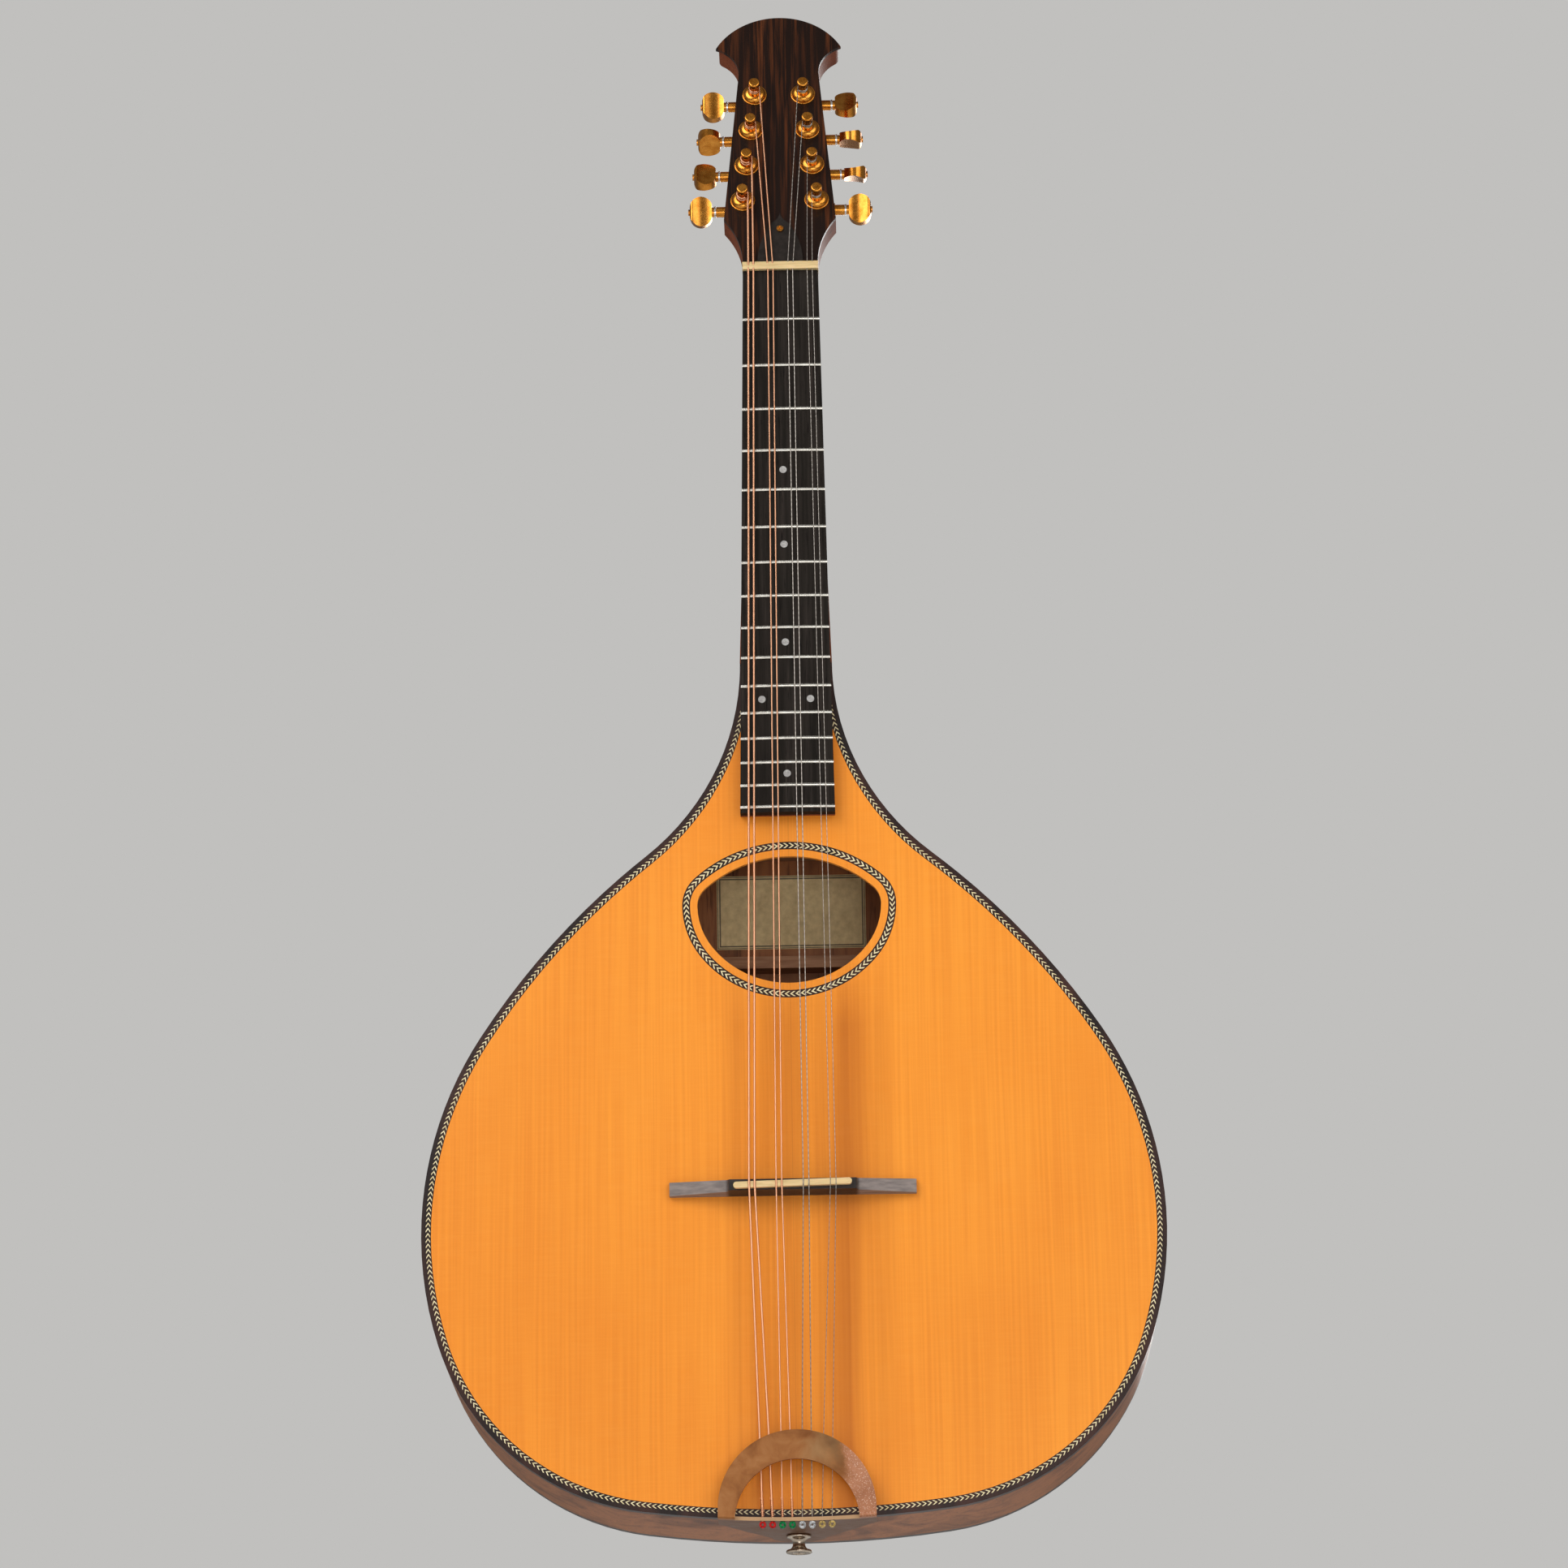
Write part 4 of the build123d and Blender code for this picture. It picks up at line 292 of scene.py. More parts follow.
def rosewood():
    """Dark glossy rosewood with black figure lines that run along the body."""
    wood = Finish("rosewood", roughness=0.45, coat=0.15, coat_roughness=0.25, specular=0.2)
    figure = wood.noise((26, 26, 1.6), 6, 0.62, 0.9)
    fine = wood.noise((520, 520, 9), 3)
    base = wood.ramp(
        figure,
        (0.30, (0.080, 0.026, 0.009)),
        (0.43, (0.230, 0.080, 0.026)),
        (0.56, (0.370, 0.135, 0.046)),
        (0.72, (0.170, 0.058, 0.020)),
    )
    pores = wood.spread(fine, 0.58, 0.72)
    wood.colour(wood.mix(wood.math("MULTIPLY", pores, 0.55), base, (0.008, 0.003, 0.002)))
    wood.bump(fine, 0.00001, 0.2)
    return wood.on("back", "rib_bass", "rib_treble")


def binding():
    """Near-black wood with faint red streaks; the strips that hold the herringbone are of it too."""
    wood = Finish("binding_wood", roughness=0.35, coat=0.3, coat_roughness=0.2, specular=0.3)
    streak = wood.noise((90, 90, 12), 4)
    wood.colour(wood.ramp(streak, (0.35, (0.010, 0.0040, 0.0030)), (0.65, (0.045, 0.0150, 0.0095))))
    wood.bump(streak, 0.00001, 0.15)
    return wood.on("top_binding", "back_binding", "top_purfling", "soundhole_rosette")


def inner_wood():
    """Plain pale softwood inside the body."""
    wood = Finish("inner_softwood", roughness=0.7)
    grain = wood.noise((40, 400, 400), 4)
    wood.colour(wood.ramp(grain, (0.35, (0.50, 0.240, 0.105)), (0.65, (0.68, 0.38, 0.180))))
    wood.bump(grain, 0.00004, 0.3)
    return wood.on("linings", "top_braces", "neck_block", "tail_block")


def brace_wood():
    """The back's braces, darker than the other wood inside: the darkening is painted shade."""
    wood = Finish("back_brace_wood_painted_shade", roughness=0.65, specular=0.2)
    grain = wood.noise((40, 400, 400), 4)
    # The darker ramp is painted shade cast by the soundboard's edge.
    wood.colour(wood.ramp(grain, (0.35, (0.26, 0.120, 0.062)), (0.65, (0.38, 0.190, 0.100))))
    wood.bump(grain, 0.00004, 0.3)
    return wood.on("back_braces")


def mahogany():
    """The neck: red-brown, with soft bands and dark open pores."""
    wood = Finish("mahogany", roughness=0.55, coat=0.0, specular=0.12)
    bands = wood.noise((30, 30, 2.0), 5, 0.6, 0.5)
    pores = wood.spread(wood.noise((900, 900, 28), 2), 0.60, 0.70)
    base = wood.ramp(
        bands,
        (0.32, (0.120, 0.030, 0.012)),
        (0.55, (0.200, 0.056, 0.024)),
        (0.75, (0.270, 0.086, 0.038)),
    )
    wood.colour(wood.mix(wood.math("MULTIPLY", pores, 0.6), base, (0.035, 0.010, 0.005)))
    wood.bump(pores, 0.00002, 0.25)
    return wood.on("neck")


def headplate_wood():
    """Nearly black rosewood with thin red-brown streaks."""
    wood = Finish("headplate_rosewood", roughness=0.35, coat=0.15, coat_roughness=0.1, specular=0.15)
    streaks = wood.noise((420, 60, 2.4), 4, 0.6, 0.2)
    wide = wood.noise((60, 20, 2.0), 2)
    red = wood.math("MULTIPLY", wood.spread(streaks, 0.48, 0.68), wood.spread(wide, 0.36, 0.60))
    wood.colour(wood.mix(red, (0.0095, 0.0030, 0.0012), (0.115, 0.030, 0.007)))
    return wood.on("headplate")


def ebony():
    """Near-black wood with brown streaks and open pores."""
    wood = Finish("ebony", roughness=0.6, specular=0.04)
    streaks = wood.noise((420, 420, 14), 4)
    pores = wood.spread(wood.noise((1600, 1600, 60), 2), 0.60, 0.72)
    base = wood.ramp(
        streaks,
        (0.35, (0.012, 0.010, 0.008)),
        (0.62, (0.025, 0.020, 0.017)),
        (0.80, (0.052, 0.040, 0.033)),
    )
    wood.colour(wood.mix(pores, base, (0.004, 0.003, 0.003)))
    wood.rough(wood.spread(streaks, 0.3, 0.7, 0.55, 0.66))
    wood.bump(pores, 0.00002, 0.2)
    return wood.on("fingerboard")


def bridge_wood():
    """Ebony, near-black on the bridge's crown, with a grey painted highlight on its low wings."""
    wood = Finish("bridge_ebony", roughness=0.42, specular=0.3)
    x = wood.axes()[0]
    grain = wood.noise((26, 500, 500), 4)
    crown = wood.ramp(grain, (0.35, (0.014, 0.010, 0.009)), (0.65, (0.030, 0.022, 0.019)))
    # The wings' lighter grey is a painted highlight.
    painted_wing_highlight = wood.ramp(grain, (0.35, (0.150, 0.122, 0.112)), (0.65, (0.250, 0.205, 0.185)))
    share = wood.spread(wood.math("ABSOLUTE", x), BRIDGE_CROWN_HALF, BRIDGE_CROWN_HALF + WING_HIGHLIGHT_BLEND)
    wood.colour(wood.mix(share, crown, painted_wing_highlight))
    wood.bump(grain, 0.00002, 0.3)
    return wood.on("bridge")


# ---- Metals, bone, pearl, paper ----------------------------------------------------------------
GOLD_LOW = (0.52, 0.185, 0.022)
GOLD_HIGH = (0.74, 0.315, 0.052)
GOLD_ROUGHNESS = 0.22
# The brass tailpiece: places across it and up it where its colours change, and where its painted
# highlight on the bar and painted shade on the flange lie.
PINK_START, PINK_FULL = 22.0 * MM, 32.0 * MM
GREEN_X = 16.0 * MM
GREEN_CORE, GREEN_END = 1.0 * MM, 13.0 * MM
GREEN_LOW, GREEN_HIGH = 35.0 * MM, 45.0 * MM
BAR_SKIN, BAR_SKIN_END = 0.6 * MM, 1.4 * MM
BAR_TOP, BAR_TOP_END = Z_TAIL + 1.0 * MM, Z_TAIL + 2.0 * MM
FLANGE_BLEND = 0.5 * MM
FLANGE_REACH = 2.0 * MM
# The label's ruled lines: each one's inset from the edge and half its width.
LABEL_RULES = ((0.6 * MM, 0.25 * MM), (1.8 * MM, 0.4 * MM))
# Bands a metre in a wave texture of scale 1.
WAVE_BANDS = 3.18


def metal(name, low, high, roughness):
    """A plated or drawn metal with faint cloudiness and hairline scratches."""
    surface = Finish(name, roughness=roughness, metallic=1.0)
    cloud = surface.noise((220, 220, 220), 4)
    hair = surface.noise((3000, 400, 900), 2)
    surface.colour(surface.ramp(cloud, (0.35, low), (0.65, high)))
    surface.rough(surface.spread(hair, 0.3, 0.7, 0.8 * roughness, 1.5 * roughness))
    return surface


def patina_brass():
    """Aged brass: orange-brown on the bass side, greenish by the crown, pink and pitted at the right."""
    brass = Finish("patina_brass", roughness=0.42, metallic=0.6)
    x, y, z = brass.axes()
    cloud = brass.noise((70, 70, 70), 5, 0.6, 0.4)
    pits = brass.noise((1500, 1500, 1500), 3)
    brown = brass.ramp(
        cloud,
        (0.30, (0.19, 0.060, 0.013)),
        (0.52, (0.30, 0.112, 0.029)),
        (0.72, (0.38, 0.165, 0.055)),
    )
    pink = brass.ramp(cloud, (0.32, (0.33, 0.125, 0.058)), (0.66, (0.46, 0.200, 0.105)))
    drift = brass.math("MULTIPLY", brass.math("SUBTRACT", cloud, 0.5), 0.03)
    across = brass.math("ADD", x, drift)
    to_pink = brass.spread(across, PINK_START, PINK_FULL)
    from_green = brass.math("ABSOLUTE", brass.math("SUBTRACT", across, GREEN_X))
    green = brass.spread(from_green, GREEN_CORE, GREEN_END, 0.38, 0.0)
    green = brass.math("MULTIPLY", green, brass.spread(z, GREEN_LOW, GREEN_HIGH))
    base = brass.mix(green, brown, (0.22, 0.160, 0.075))
    base = brass.mix(to_pink, base, pink)
    specks = brass.math("MULTIPLY", brass.spread(pits, 0.58, 0.66), to_pink)
    base = brass.mix(brass.math("MULTIPLY", specks, 0.7), base, (0.72, 0.52, 0.40))
    # The bar between the legs gets a painted highlight along its front face, and the flange behind it is
    # darkened as painted shade.
    inside = brass.math("LESS_THAN", brass.math("ABSOLUTE", x), TAILPIECE_INNER)
    front = brass.spread(y, BAR_FRONT + BAR_SKIN_END, BAR_FRONT + BAR_SKIN)
    painted_bar_highlight = brass.math("MULTIPLY", inside, front)
    painted_bar_highlight = brass.math("MULTIPLY", painted_bar_highlight, brass.spread(z, BAR_TOP_END, BAR_TOP))
    below = brass.spread(z, Z_TAIL + FLANGE_BLEND, Z_TAIL - FLANGE_BLEND)
    painted_flange_shade = brass.math("MULTIPLY", below, brass.spread(y, BAR_FRONT, BAR_FRONT + FLANGE_REACH))
    # Lighter brass here is a painted highlight along the bar's front face.
    base = brass.mix(painted_bar_highlight, base, (0.45, 0.27, 0.14))
    # Dark brown here is painted shade on the flange below the tail.
    brass.colour(brass.mix(painted_flange_shade, base, (0.150, 0.062, 0.025)))
    brass.rough(brass.spread(cloud, 0.3, 0.7, 0.33, 0.50))
    brass.bump(pits, 0.00003, 0.3)
    return brass.on("tailpiece")


def bone():
    """Yellowed bone with a fine grain."""
    surface = Finish("bone", roughness=0.38)
    surface.shader.inputs["Subsurface Weight"].default_value = 0.15
    surface.shader.inputs["Subsurface Scale"].default_value = 0.002
    grain = surface.noise((90, 700, 700), 4)
    surface.colour(surface.ramp(grain, (0.30, (0.58, 0.42, 0.19)), (0.60, (0.74, 0.54, 0.27))))
    surface.bump(grain, 0.00002, 0.2)
    return surface.on("nut", "saddle")


def pearl():
    """Grey mother-of-pearl in wavy layers."""
    surface = Finish("pearl", roughness=0.2, coat=0.4)
    layers = surface.noise((500, 500, 900), 3, 0.6, 1.5)
    sheen = surface.ramp(
        layers,
        (0.30, (0.26, 0.26, 0.25)),
        (0.50, (0.40, 0.38, 0.37)),
        (0.70, (0.52, 0.54, 0.50)),
    )
    surface.colour(sheen)
    return surface.on("position_dots")


def parchment():
    """The label: blank aged paper inside a double ruled border."""
    paper = Finish("parchment", roughness=0.75)
    x, _, z = paper.axes()
    centre = (LABEL_LOW + LABEL_HIGH) / 2
    half_x = (LABEL_HIGH.x - LABEL_LOW.x) / 2
    half_z = (LABEL_HIGH.z - LABEL_LOW.z) / 2
    in_x = paper.math("SUBTRACT", half_x, paper.math("ABSOLUTE", paper.math("SUBTRACT", x, centre.x)))
    in_z = paper.math("SUBTRACT", half_z, paper.math("ABSOLUTE", paper.math("SUBTRACT", z, centre.z)))
    edge = paper.math("MINIMUM", in_x, in_z)
    rule = 0.0
    for inset, width in LABEL_RULES:
        from_rule = paper.math("ABSOLUTE", paper.math("SUBTRACT", edge, inset))
        line = paper.math("LESS_THAN", from_rule, width)
        rule = paper.math("MAXIMUM", line, rule)
    fibre = paper.noise((240, 240, 240), 5)
    sheet = paper.ramp(fibre, (0.30, (0.68, 0.50, 0.24)), (0.70, (0.90, 0.70, 0.36)))
    paper.colour(paper.mix(paper.math("MULTIPLY", rule, 0.85), sheet, (0.07, 0.055, 0.045)))
    paper.bump(fibre, 0.00003, 0.2)
    return paper.on("label")


def black_cover():
    """Faintly mottled black plastic."""
    surface = Finish("black_plastic", roughness=0.45, specular=0.12)
    cloud = surface.noise((300, 300, 300), 4)
    surface.colour(surface.ramp(cloud, (0.35, (0.014, 0.011, 0.009)), (0.65, (0.024, 0.018, 0.015))))
    surface.rough(surface.spread(cloud, 0.3, 0.7, 0.40, 0.52))
    surface.bump(cloud, 0.00002, 0.15)
    return surface.on("truss_rod_cover")


def string_metal(name, plain, deep, ball, winding):
    """A course's metal, banded once each winding, and its coloured ball ends below the tail."""
    surface = Finish(name, roughness=0.28, metallic=1.0)
    z = surface.axes()[2]
    wave = surface.add("ShaderNodeTexWave", wave_type="BANDS", bands_direction="Z")
    surface.put(wave.inputs["Vector"], surface.place())
    wave.inputs["Scale"].default_value = 1.0 / winding / WAVE_BANDS
    wave.inputs["Distortion"].default_value = 0.0
    turns = wave.outputs["Fac"]
    wire = surface.mix(turns, deep, plain)
    is_ball = surface.math("LESS_THAN", z, BALL_TOP)
    speckle = surface.spread(surface.noise((1400, 1400, 1400), 2), 0.35, 0.65)
    surface.colour(surface.mix(is_ball, wire, surface.mix(speckle, tuple(0.35 * c for c in ball), ball)))
    surface.bump(turns, 0.00006, 0.5)
    return surface


# ---- Herringbone, laid as separate chips of wood -------------------------------------------------
OUTLINE_STEP = 1.0 * MM
OVAL_STEP = 0.8 * MM
CHIP_PROUD = 0.04 * MM
CHIP_SUNK = 0.25 * MM
EDGE_CHIPS = {"pitch": 2.95 * MM, "half_width": 1.25 * MM, "point": 1.9 * MM, "thickness": 0.95 * MM}
RING_CHIPS = {"pitch": 3.0 * MM, "half_width": 1.45 * MM, "point": 2.1 * MM, "thickness": 1.15 * MM}


def arc_points(arcs, step):
    """Points along arcs of (centre x, centre z, radius, start angle, end angle)."""
    made = []
    for cx, cz, radius, start, end in arcs:
        count = max(2, round(abs(radius * (end - start)) / step))
        for i in range(count):
            angle = start + (end - start) * i / count
            made.append((cx + radius * sin(angle), cz - radius * cos(angle)))
    cx, cz, radius, start, end = arcs[-1]
    made.append((cx + radius * sin(end), cz - radius * cos(end)))
    return made


def outline_side(inset):
    """The right half of the body's outline from the tail to the heel, inset from its outer edge."""
    first, second = (radians(s) for s in OUTLINE_SWEEPS[:2])
    share = OUTLINE_RADII[0] * sin(first) + OUTLINE_RADII[1] * (sin(first + second) - sin(first))
    share += OUTLINE_RADII[2] * (1 - sin(first + second))
    scale = HALF_WIDTH / share
    arcs = []
    x, z, heading = 0.0, Z_TAIL, 0.0
    for radius, sweep in zip(OUTLINE_RADII, OUTLINE_SWEEPS):
        r, turn = radius * scale, radians(sweep)
        cx, cz = x - r * sin(heading), z + r * cos(heading)
        arcs.append((cx, cz, r - inset, heading, heading + turn))
        heading += turn
        x, z = cx + r * sin(heading), cz - r * cos(heading)
    lean = heading - pi / 2
    r = -(x - HEEL_HALF) / (1 - cos(lean))
    cx, cz = x - r * sin(heading), z + r * cos(heading)
    arcs.append((cx, cz, r - inset, heading, heading - lean))
    return arc_points(arcs, OUTLINE_STEP)


def quarter_oval(half, height, sweep):
    """The two arc radii of a quarter oval: the flat one turns through sweep, the tight one the rest."""
    s, c = sin(sweep), cos(sweep)
    bottom = s * c - (1 - s) * (1 - c)
    return (half * c - height * (1 - s)) / bottom, (s * height - (1 - c) * half) / bottom


def oval_loop(grow):
    """The soundhole's oval grown outward, clockwise from the top."""
    points = []
    for side, up in ((1, 1), (1, -1), (-1, -1), (-1, 1)):
        height, sweep = (SOUNDHOLE_UP, SWEEP_UP) if up > 0 else (SOUNDHOLE_DOWN, SWEEP_DOWN)
        big, small = quarter_oval(SOUNDHOLE_HALF, height, sweep)
        small_x = (big - small) * sin(sweep)
        small_z = height - big + (big - small) * cos(sweep)
        quarter = []
        for cx, cz, radius, start, end in (
            (0, height - big, big + grow, 0, sweep),
            (small_x, small_z, small + grow, sweep, pi / 2),
        ):
            count = max(2, round(radius * (end - start) / OVAL_STEP))
            for i in range(count + 1):
                angle = start + (end - start) * i / count
                out_x, out_z = cx + radius * sin(angle), cz + radius * cos(angle)
                quarter.append((side * out_x, Z_HOLE + up * out_z))
        points += quarter if side * up > 0 else quarter[::-1]
    return points


def top_y(x):
    """The arched soundboard's face."""
    return Y_TOP + TOP_RADIUS - sqrt(TOP_RADIUS**2 - x**2)


def walk(points, closed=False):
    """A function from a distance along the points to (point, direction), and their whole length."""
    line = points + points[:1] if closed else points
    lengths = [0.0]
    for (x0, z0), (x1, z1) in zip(line, line[1:]):
        lengths.append(lengths[-1] + hypot(x1 - x0, z1 - z0))

    def at(distance):
        distance = min(max(distance, 0.0), lengths[-1] - 1e-9)
        low, high = 0, len(lengths) - 1
        while high - low > 1:
            middle = (low + high) // 2
            low, high = (middle, high) if lengths[middle] <= distance else (low, middle)
        run = max(lengths[high] - lengths[low], 1e-12)
        t = (distance - lengths[low]) / run
        (x0, z0), (x1, z1) = line[low], line[high]
        length = max(hypot(x1 - x0, z1 - z0), 1e-12)
        return (x0 + t * (x1 - x0), z0 + t * (z1 - z0)), ((x1 - x0) / length, (z1 - z0) / length)

    return at, lengths[-1]


def chevrons(name, paths, pitch, half_width, point, thickness):
    """Pale chips in a V, one pair for each pitch along each path, let into the dark strip."""
    bm = bmesh.new()
    for at, length in paths:
        count = max(1, round(length / pitch))
        step = length / count
        for i in range(count):
            for side in (-1, 1):
                outline = []
                for along, across in (
                    (0.0, side * half_width),
                    (thickness, side * half_width),
                    (thickness + point, 0.0),
                    (point, 0.0),
                ):
                    (x, z), (dx, dz) = at(i * step + along)
                    px, pz = x - dz * across, z + dx * across
                    outline.append((px, pz))
                if side < 0:
                    outline.reverse()
                faces = []
                for lift in (-CHIP_PROUD, CHIP_SUNK):
                    faces.append([bm.verts.new((x, top_y(x) + lift, z)) for x, z in outline])
                front, rear = faces
                bm.faces.new(front)
                bm.faces.new(rear[::-1])
                for j in range(4):
                    k = (j + 1) % 4
                    bm.faces.new((front[k], front[j], rear[j], rear[k]))
    bmesh.ops.recalc_face_normals(bm, faces=bm.faces)
    return new_piece(name, bm)


def new_piece(name, bm):
    mesh = bpy.data.meshes.new(name)
    bm.to_mesh(mesh)
    bm.free()
    piece = bpy.data.objects.new(name, mesh)
    bpy.context.scene.collection.objects.link(piece)
    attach(piece, "root")
    return piece


def herringbone():
    """The two strips of pale chips, round the soundboard's edge and round the soundhole."""
    chip = Finish("herringbone", roughness=0.35, coat=0.3, coat_roughness=0.15)
    tint = chip.noise((260, 260, 260), 3)
    chip.colour(chip.ramp(tint, (0.32, (0.62, 0.50, 0.25)), (0.66, (0.84, 0.74, 0.46))))
    inset = BINDING_WIDTH + 0.5 * PURFLING_WIDTH
    right = outline_side(inset)
    left = [(-x, z) for x, z in right]
    edge = chevrons("top_herringbone", [walk(right), walk(left)], **EDGE_CHIPS)
    middle = oval_loop(ROSETTE_GAP + 0.5 * ROSETTE_WIDTH)
    ring = chevrons("rosette_herringbone", [walk(middle, closed=True)], **RING_CHIPS)
    for piece in (edge, ring):
        piece.data.materials.append(chip.material)


# ---- Fine wire: the twist at each ball end and the extra turns on each post -----------------------
TWIST_START = 0.8 * MM
TWIST_END = 11.0 * MM
TWIST_TURNS = 9
TURN_STEPS = 14
# The wrapped end is drawn thinner than the string: a share of its radius, between two limits.
WRAP_SHARE = 0.55
WRAP_THINNEST = 0.11 * MM
WRAP_THICKEST = 0.26 * MM
WRAP_SEAT = 0.7
# Turns on a post follow each other by this many radii of the string.
WIND_PITCH = 2.1
WIRE_SIDES = 8


def wire_tube(name, points, radius, finish):
    """A round wire along points, closed at both ends."""
    curve = bpy.data.curves.new(name, "CURVE")
    curve.dimensions = "3D"
    curve.bevel_depth = radius
    curve.bevel_resolution = WIRE_SIDES // 4
    curve.use_fill_caps = True
    spline = curve.splines.new("POLY")
    spline.points.add(len(points) - 1)
    for target, point in zip(spline.points, points):
        target.co = (*point, 1)
    made = bpy.data.objects.new(name, curve)
    bpy.context.scene.collection.objects.link(made)
    made.data.materials.append(finish.material)
    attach(made, "root")


def tail_run(i):
    """A string's straight run between the tailpiece's bar and the underside of its arch."""
    place = i - (STRING_COUNT - 1) / 2
    radius = STRING_DIAMETERS[i // 2] / 2
    tail_x = place * TAIL_SPACING
    arch_x = (1 - ARCH_SHARE) * tail_x + ARCH_SHARE * SADDLE_X[i]
    low = Vector((tail_x, HOLE_Y, Z_TAIL))
    arch_z = ARCH_CENTRE_Z + sqrt(ARCH_RADIUS**2 - arch_x**2) + 2 * radius
    high = Vector((arch_x, ARCH_UNDERSIDE + radius, arch_z))
    return low, (high - low).normalized(), radius


def twist(i, finish):
    """The string's own end, wound back round it above the ball."""
    low, along, radius = tail_run(i)
    side = along.cross(Vector((0, 1, 0))).normalized()
    front = along.cross(side)
    thick = min(max(WRAP_SHARE * radius, WRAP_THINNEST), WRAP_THICKEST)
    reach = radius + WRAP_SEAT * thick
    points = []
    steps = TWIST_TURNS * TURN_STEPS
    for k in range(steps + 1):
        angle = 2 * pi * k / TURN_STEPS
        up = low + along * (TWIST_START + (TWIST_END - TWIST_START) * k / steps)
        points.append(up + (side * cos(angle) + front * sin(angle)) * reach)
    wire_tube(f"twist_{i + 1}", points, thick, finish)


def head_point(x, along, out):
    """A point given on the headplate: across, from the nut towards the crest, and out of its face."""
    up = Vector((0, sin(HEAD_ANGLE), cos(HEAD_ANGLE)))
    normal = Vector((0, -cos(HEAD_ANGLE), sin(HEAD_ANGLE)))
    return HEAD_ORIGIN + Vector((x, 0, 0)) + up * along + normal * out


def extra_turns(i, finish):
    """The rest of the string's turns, stacked on its post's waist below the turn that it ends in."""
    bass = i < STRING_COUNT / 2
    side, number = (-1, i) if bass else (1, STRING_COUNT - 1 - i)
    x = side * (TUNER_LOWEST_X - number * TUNER_X_STEP)
    along = TUNER_FIRST + number * TUNER_SPACING
    radius = STRING_DIAMETERS[i // 2] / 2
    reach = WAIST_RADIUS + WIND_GAP + radius
    pitch = WIND_PITCH * radius
    high = STRING_HOLE_HEIGHT - pitch
    turns = max(1.0, (high - WAIST_START - radius) / pitch)
    points = []
    for k in range(int(turns * TURN_STEPS) + 1):
        angle = 2 * pi * k / TURN_STEPS
        out = high - pitch * k / TURN_STEPS
        points.append(head_point(x + side * reach * cos(angle), along + reach * sin(angle), out))
    wire_tube(f"winding_{i + 1}", points, radius, finish)


# ---- Stage -----------------------------------------------------------------------------------
FLOOR_HALF = 14.0
FLOOR_Z = -0.75
WORLD_COLOUR = (0.86, 0.85, 0.83, 1)
WORLD_LIGHT = 0.22
WORLD_SEEN = 0.62
LAMP_AIM = Vector((0, 0, 0.45))
# Each lamp: its name, place, width in metres and power in watts.
LAMPS = (
    ("key", (-1.7, -2.3, 2.0), 2.8, 70),
    ("fill", (2.0, -2.4, 1.4), 2.6, 38),
    ("low", (0.4, -2.8, -0.7), 2.0, 31),
    ("behind", (0.8, 2.4, 1.4), 2.0, 45),
)


def make_floor():
    bm = bmesh.new()
    bmesh.ops.create_grid(bm, x_segments=1, y_segments=1, size=FLOOR_HALF)
    mesh = bpy.data.meshes.new("floor")
    bm.to_mesh(mesh)
    bm.free()
    floor = bpy.data.objects.new("floor", mesh)
    floor.location = (0, 0, FLOOR_Z)
    bpy.context.scene.collection.objects.link(floor)
    pale = Finish("floor_pale", roughness=0.9)
    pale.colour((0.80, 0.79, 0.77, 1))
    floor.data.materials.append(pale.material)


def make_world():
    """A soft pale surround, seen paler than the light that it gives."""
    world = bpy.data.worlds.new("studio")
    bpy.context.scene.world = world
    world.use_nodes = True
    nodes, links = world.node_tree.nodes, world.node_tree.links
    background = nodes["Background"]
    background.inputs["Color"].default_value = WORLD_COLOUR
    seen = nodes.new("ShaderNodeLightPath").outputs["Is Camera Ray"]
    strength = nodes.new("ShaderNodeMapRange")
    links.new(seen, strength.inputs["Value"])
    strength.inputs["To Min"].default_value = WORLD_LIGHT
    strength.inputs["To Max"].default_value = WORLD_SEEN
    links.new(strength.outputs[0], background.inputs["Strength"])
    bpy.context.scene.view_settings.view_transform = "Standard"


def make_lamps():
    for name, place, width, power in LAMPS:
        data = bpy.data.lights.new(name, "AREA")
        data.shape = "DISK"
        data.size = width
        data.energy = power
        lamp = bpy.data.objects.new(name, data)
        lamp.location = place
        lamp.rotation_euler = (LAMP_AIM - Vector(place)).to_track_quat("-Z", "Y").to_euler()
        bpy.context.scene.collection.objects.link(lamp)


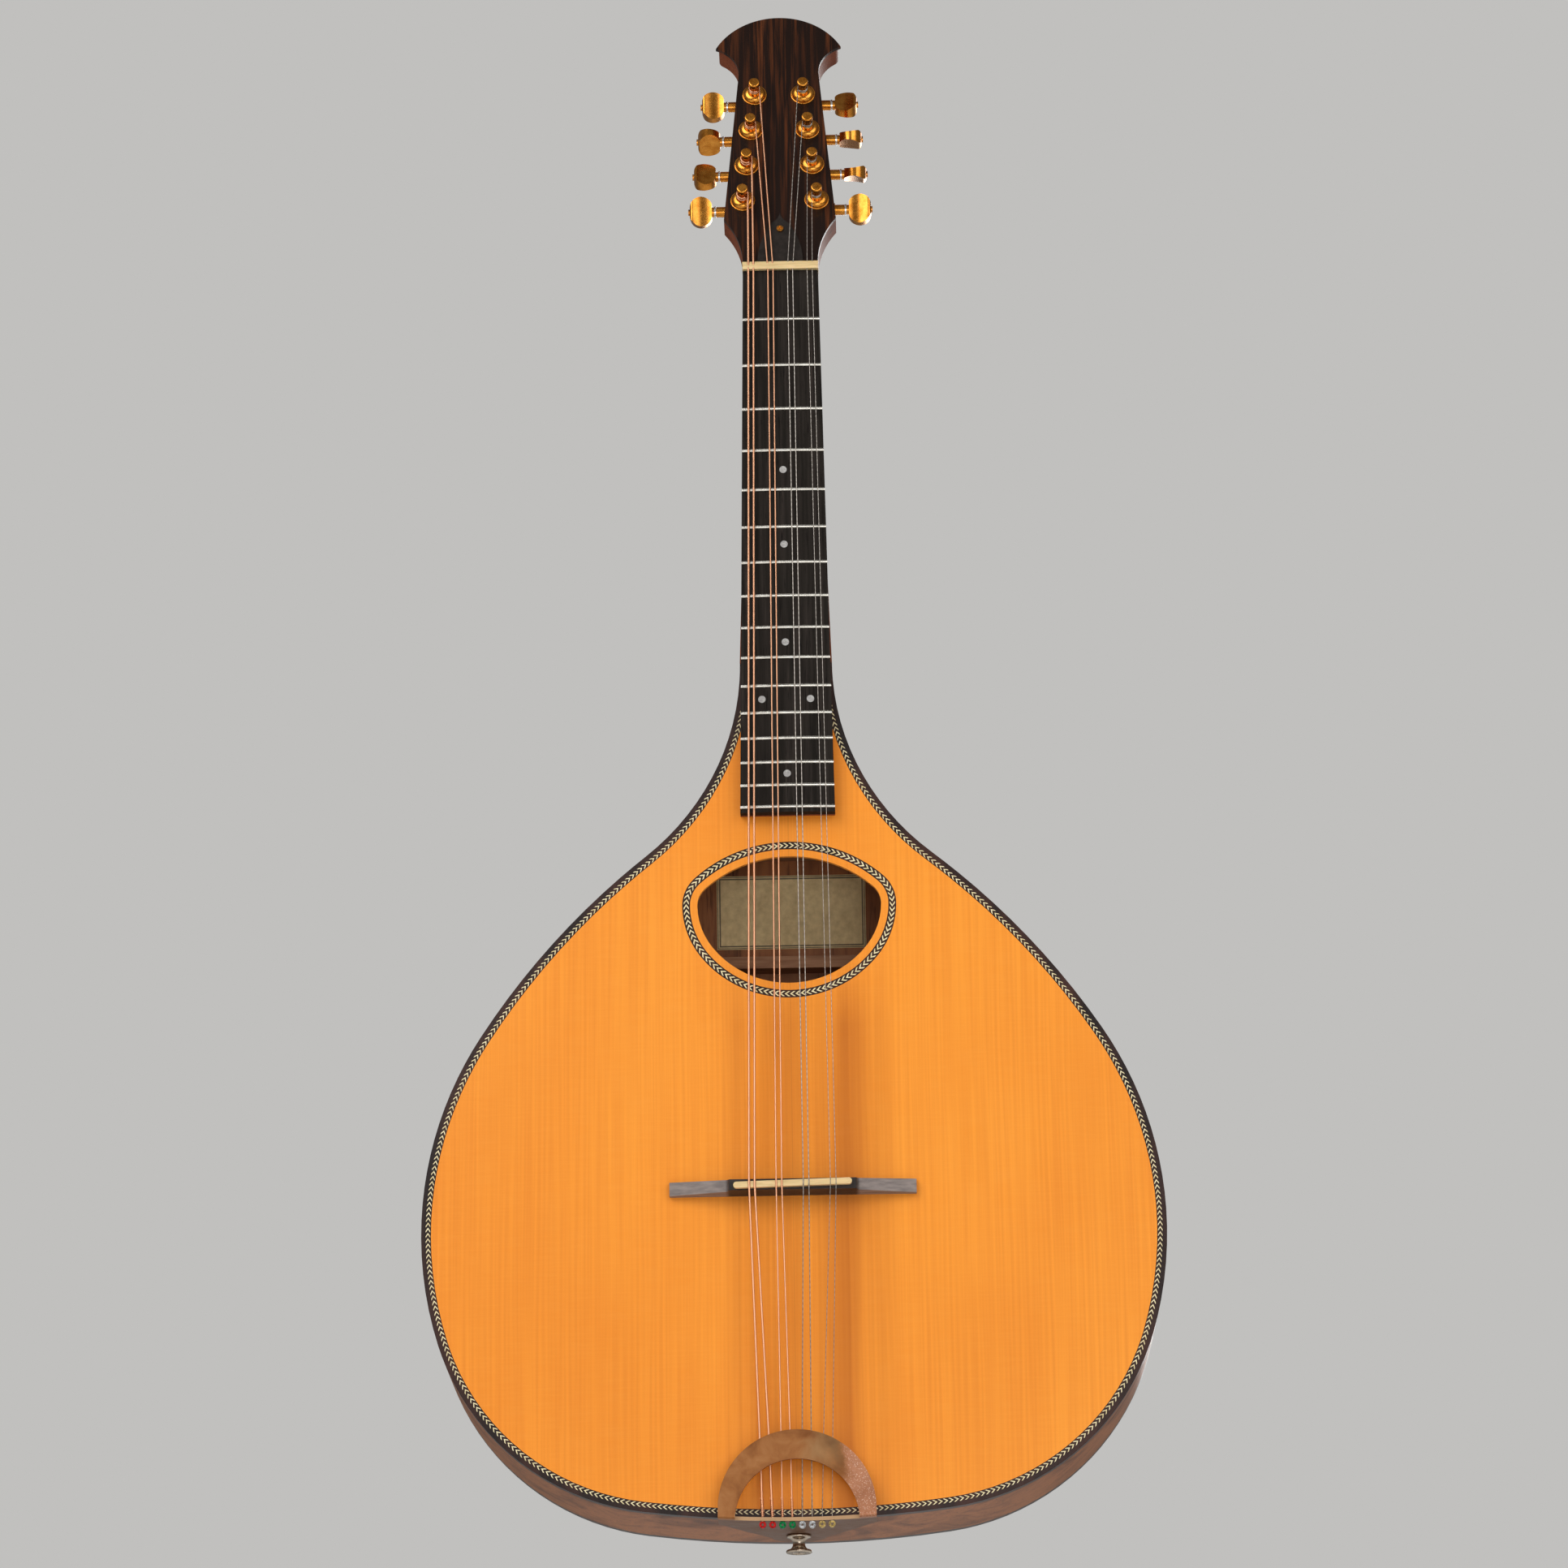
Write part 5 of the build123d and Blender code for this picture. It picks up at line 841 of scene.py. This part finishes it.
# ---- Metals given to the nodes -------------------------------------------------------------------
def tuner_gold(number):
    """Gold, but nylon-white across the washer beside the button."""
    gold = metal(f"gold_button_{number}", GOLD_LOW, GOLD_HIGH, GOLD_ROUGHNESS)
    x = gold.axes()[0]
    post = TUNER_LOWEST_X - (number - 1) * TUNER_X_STEP
    from_post = gold.math("SUBTRACT", gold.math("ABSOLUTE", x), post)
    past = gold.math("GREATER_THAN", from_post, WASHER_START)
    before = gold.math("LESS_THAN", from_post, WASHER_END)
    base = gold.shader.inputs["Base Color"].links[0].from_socket
    gold.colour(gold.mix(gold.math("MULTIPLY", past, before), base, (0.72, 0.71, 0.70)))
    return gold.on(*[f"tuner_{side}_{number}_button" for side in ("bass", "treble")])


def finish_metals():
    gold = metal("gold_plate", GOLD_LOW, GOLD_HIGH, GOLD_ROUGHNESS)
    rest = ("tuner_bushings", "tuner_housings", "tuner_base_plates", "tuner_mounting_screws")
    posts = [n for n in NODES if n.endswith("_post")]
    gold.on("truss_cover_screw", *rest, *posts)
    for number in (1, 2, 3, 4):
        tuner_gold(number)
    steel = metal("rod_steel", (0.42, 0.42, 0.43), (0.58, 0.58, 0.59), 0.28)
    steel.on("truss_rod", *[n for n in NODES if n.endswith("_worm_shaft")])
    metal("nickel", (0.44, 0.36, 0.28), (0.62, 0.53, 0.43), 0.20).on("strap_button")
    metal("fret_metal", (0.62, 0.59, 0.53), (0.80, 0.77, 0.70), 0.20).on("frets")


WOUND_PITCH = 0.28 * MM
PLAIN_PITCH = 3.0 * MM


def finish_strings():
    bronze, bronze_deep = (0.95, 0.54, 0.34), (0.55, 0.24, 0.12)
    steel, steel_deep = (0.42, 0.38, 0.34), (0.28, 0.25, 0.22)
    balls = {
        "low_g": (0.50, 0.020, 0.018),
        "d": (0.012, 0.20, 0.060),
        "a": (0.72, 0.72, 0.72),
        "high_e": (0.74, 0.52, 0.18),
    }
    for course in COURSES:
        wound = course in ("low_g", "d")
        finish = string_metal(
            f"string_{course}",
            bronze if wound else steel,
            bronze_deep if wound else steel_deep,
            balls[course],
            WOUND_PITCH if wound else PLAIN_PITCH,
        ).on(f"strings_{course}")
        first = 2 * COURSES.index(course)
        for i in (first, first + 1):
            twist(i, finish)
            extra_turns(i, finish)


make_camera()
make_floor()
make_world()
make_lamps()
spruce()
rosewood()
binding()
inner_wood()
brace_wood()
mahogany()
headplate_wood()
ebony()
bridge_wood()
patina_brass()
bone()
pearl()
parchment()
black_cover()
finish_metals()
finish_strings()
herringbone()
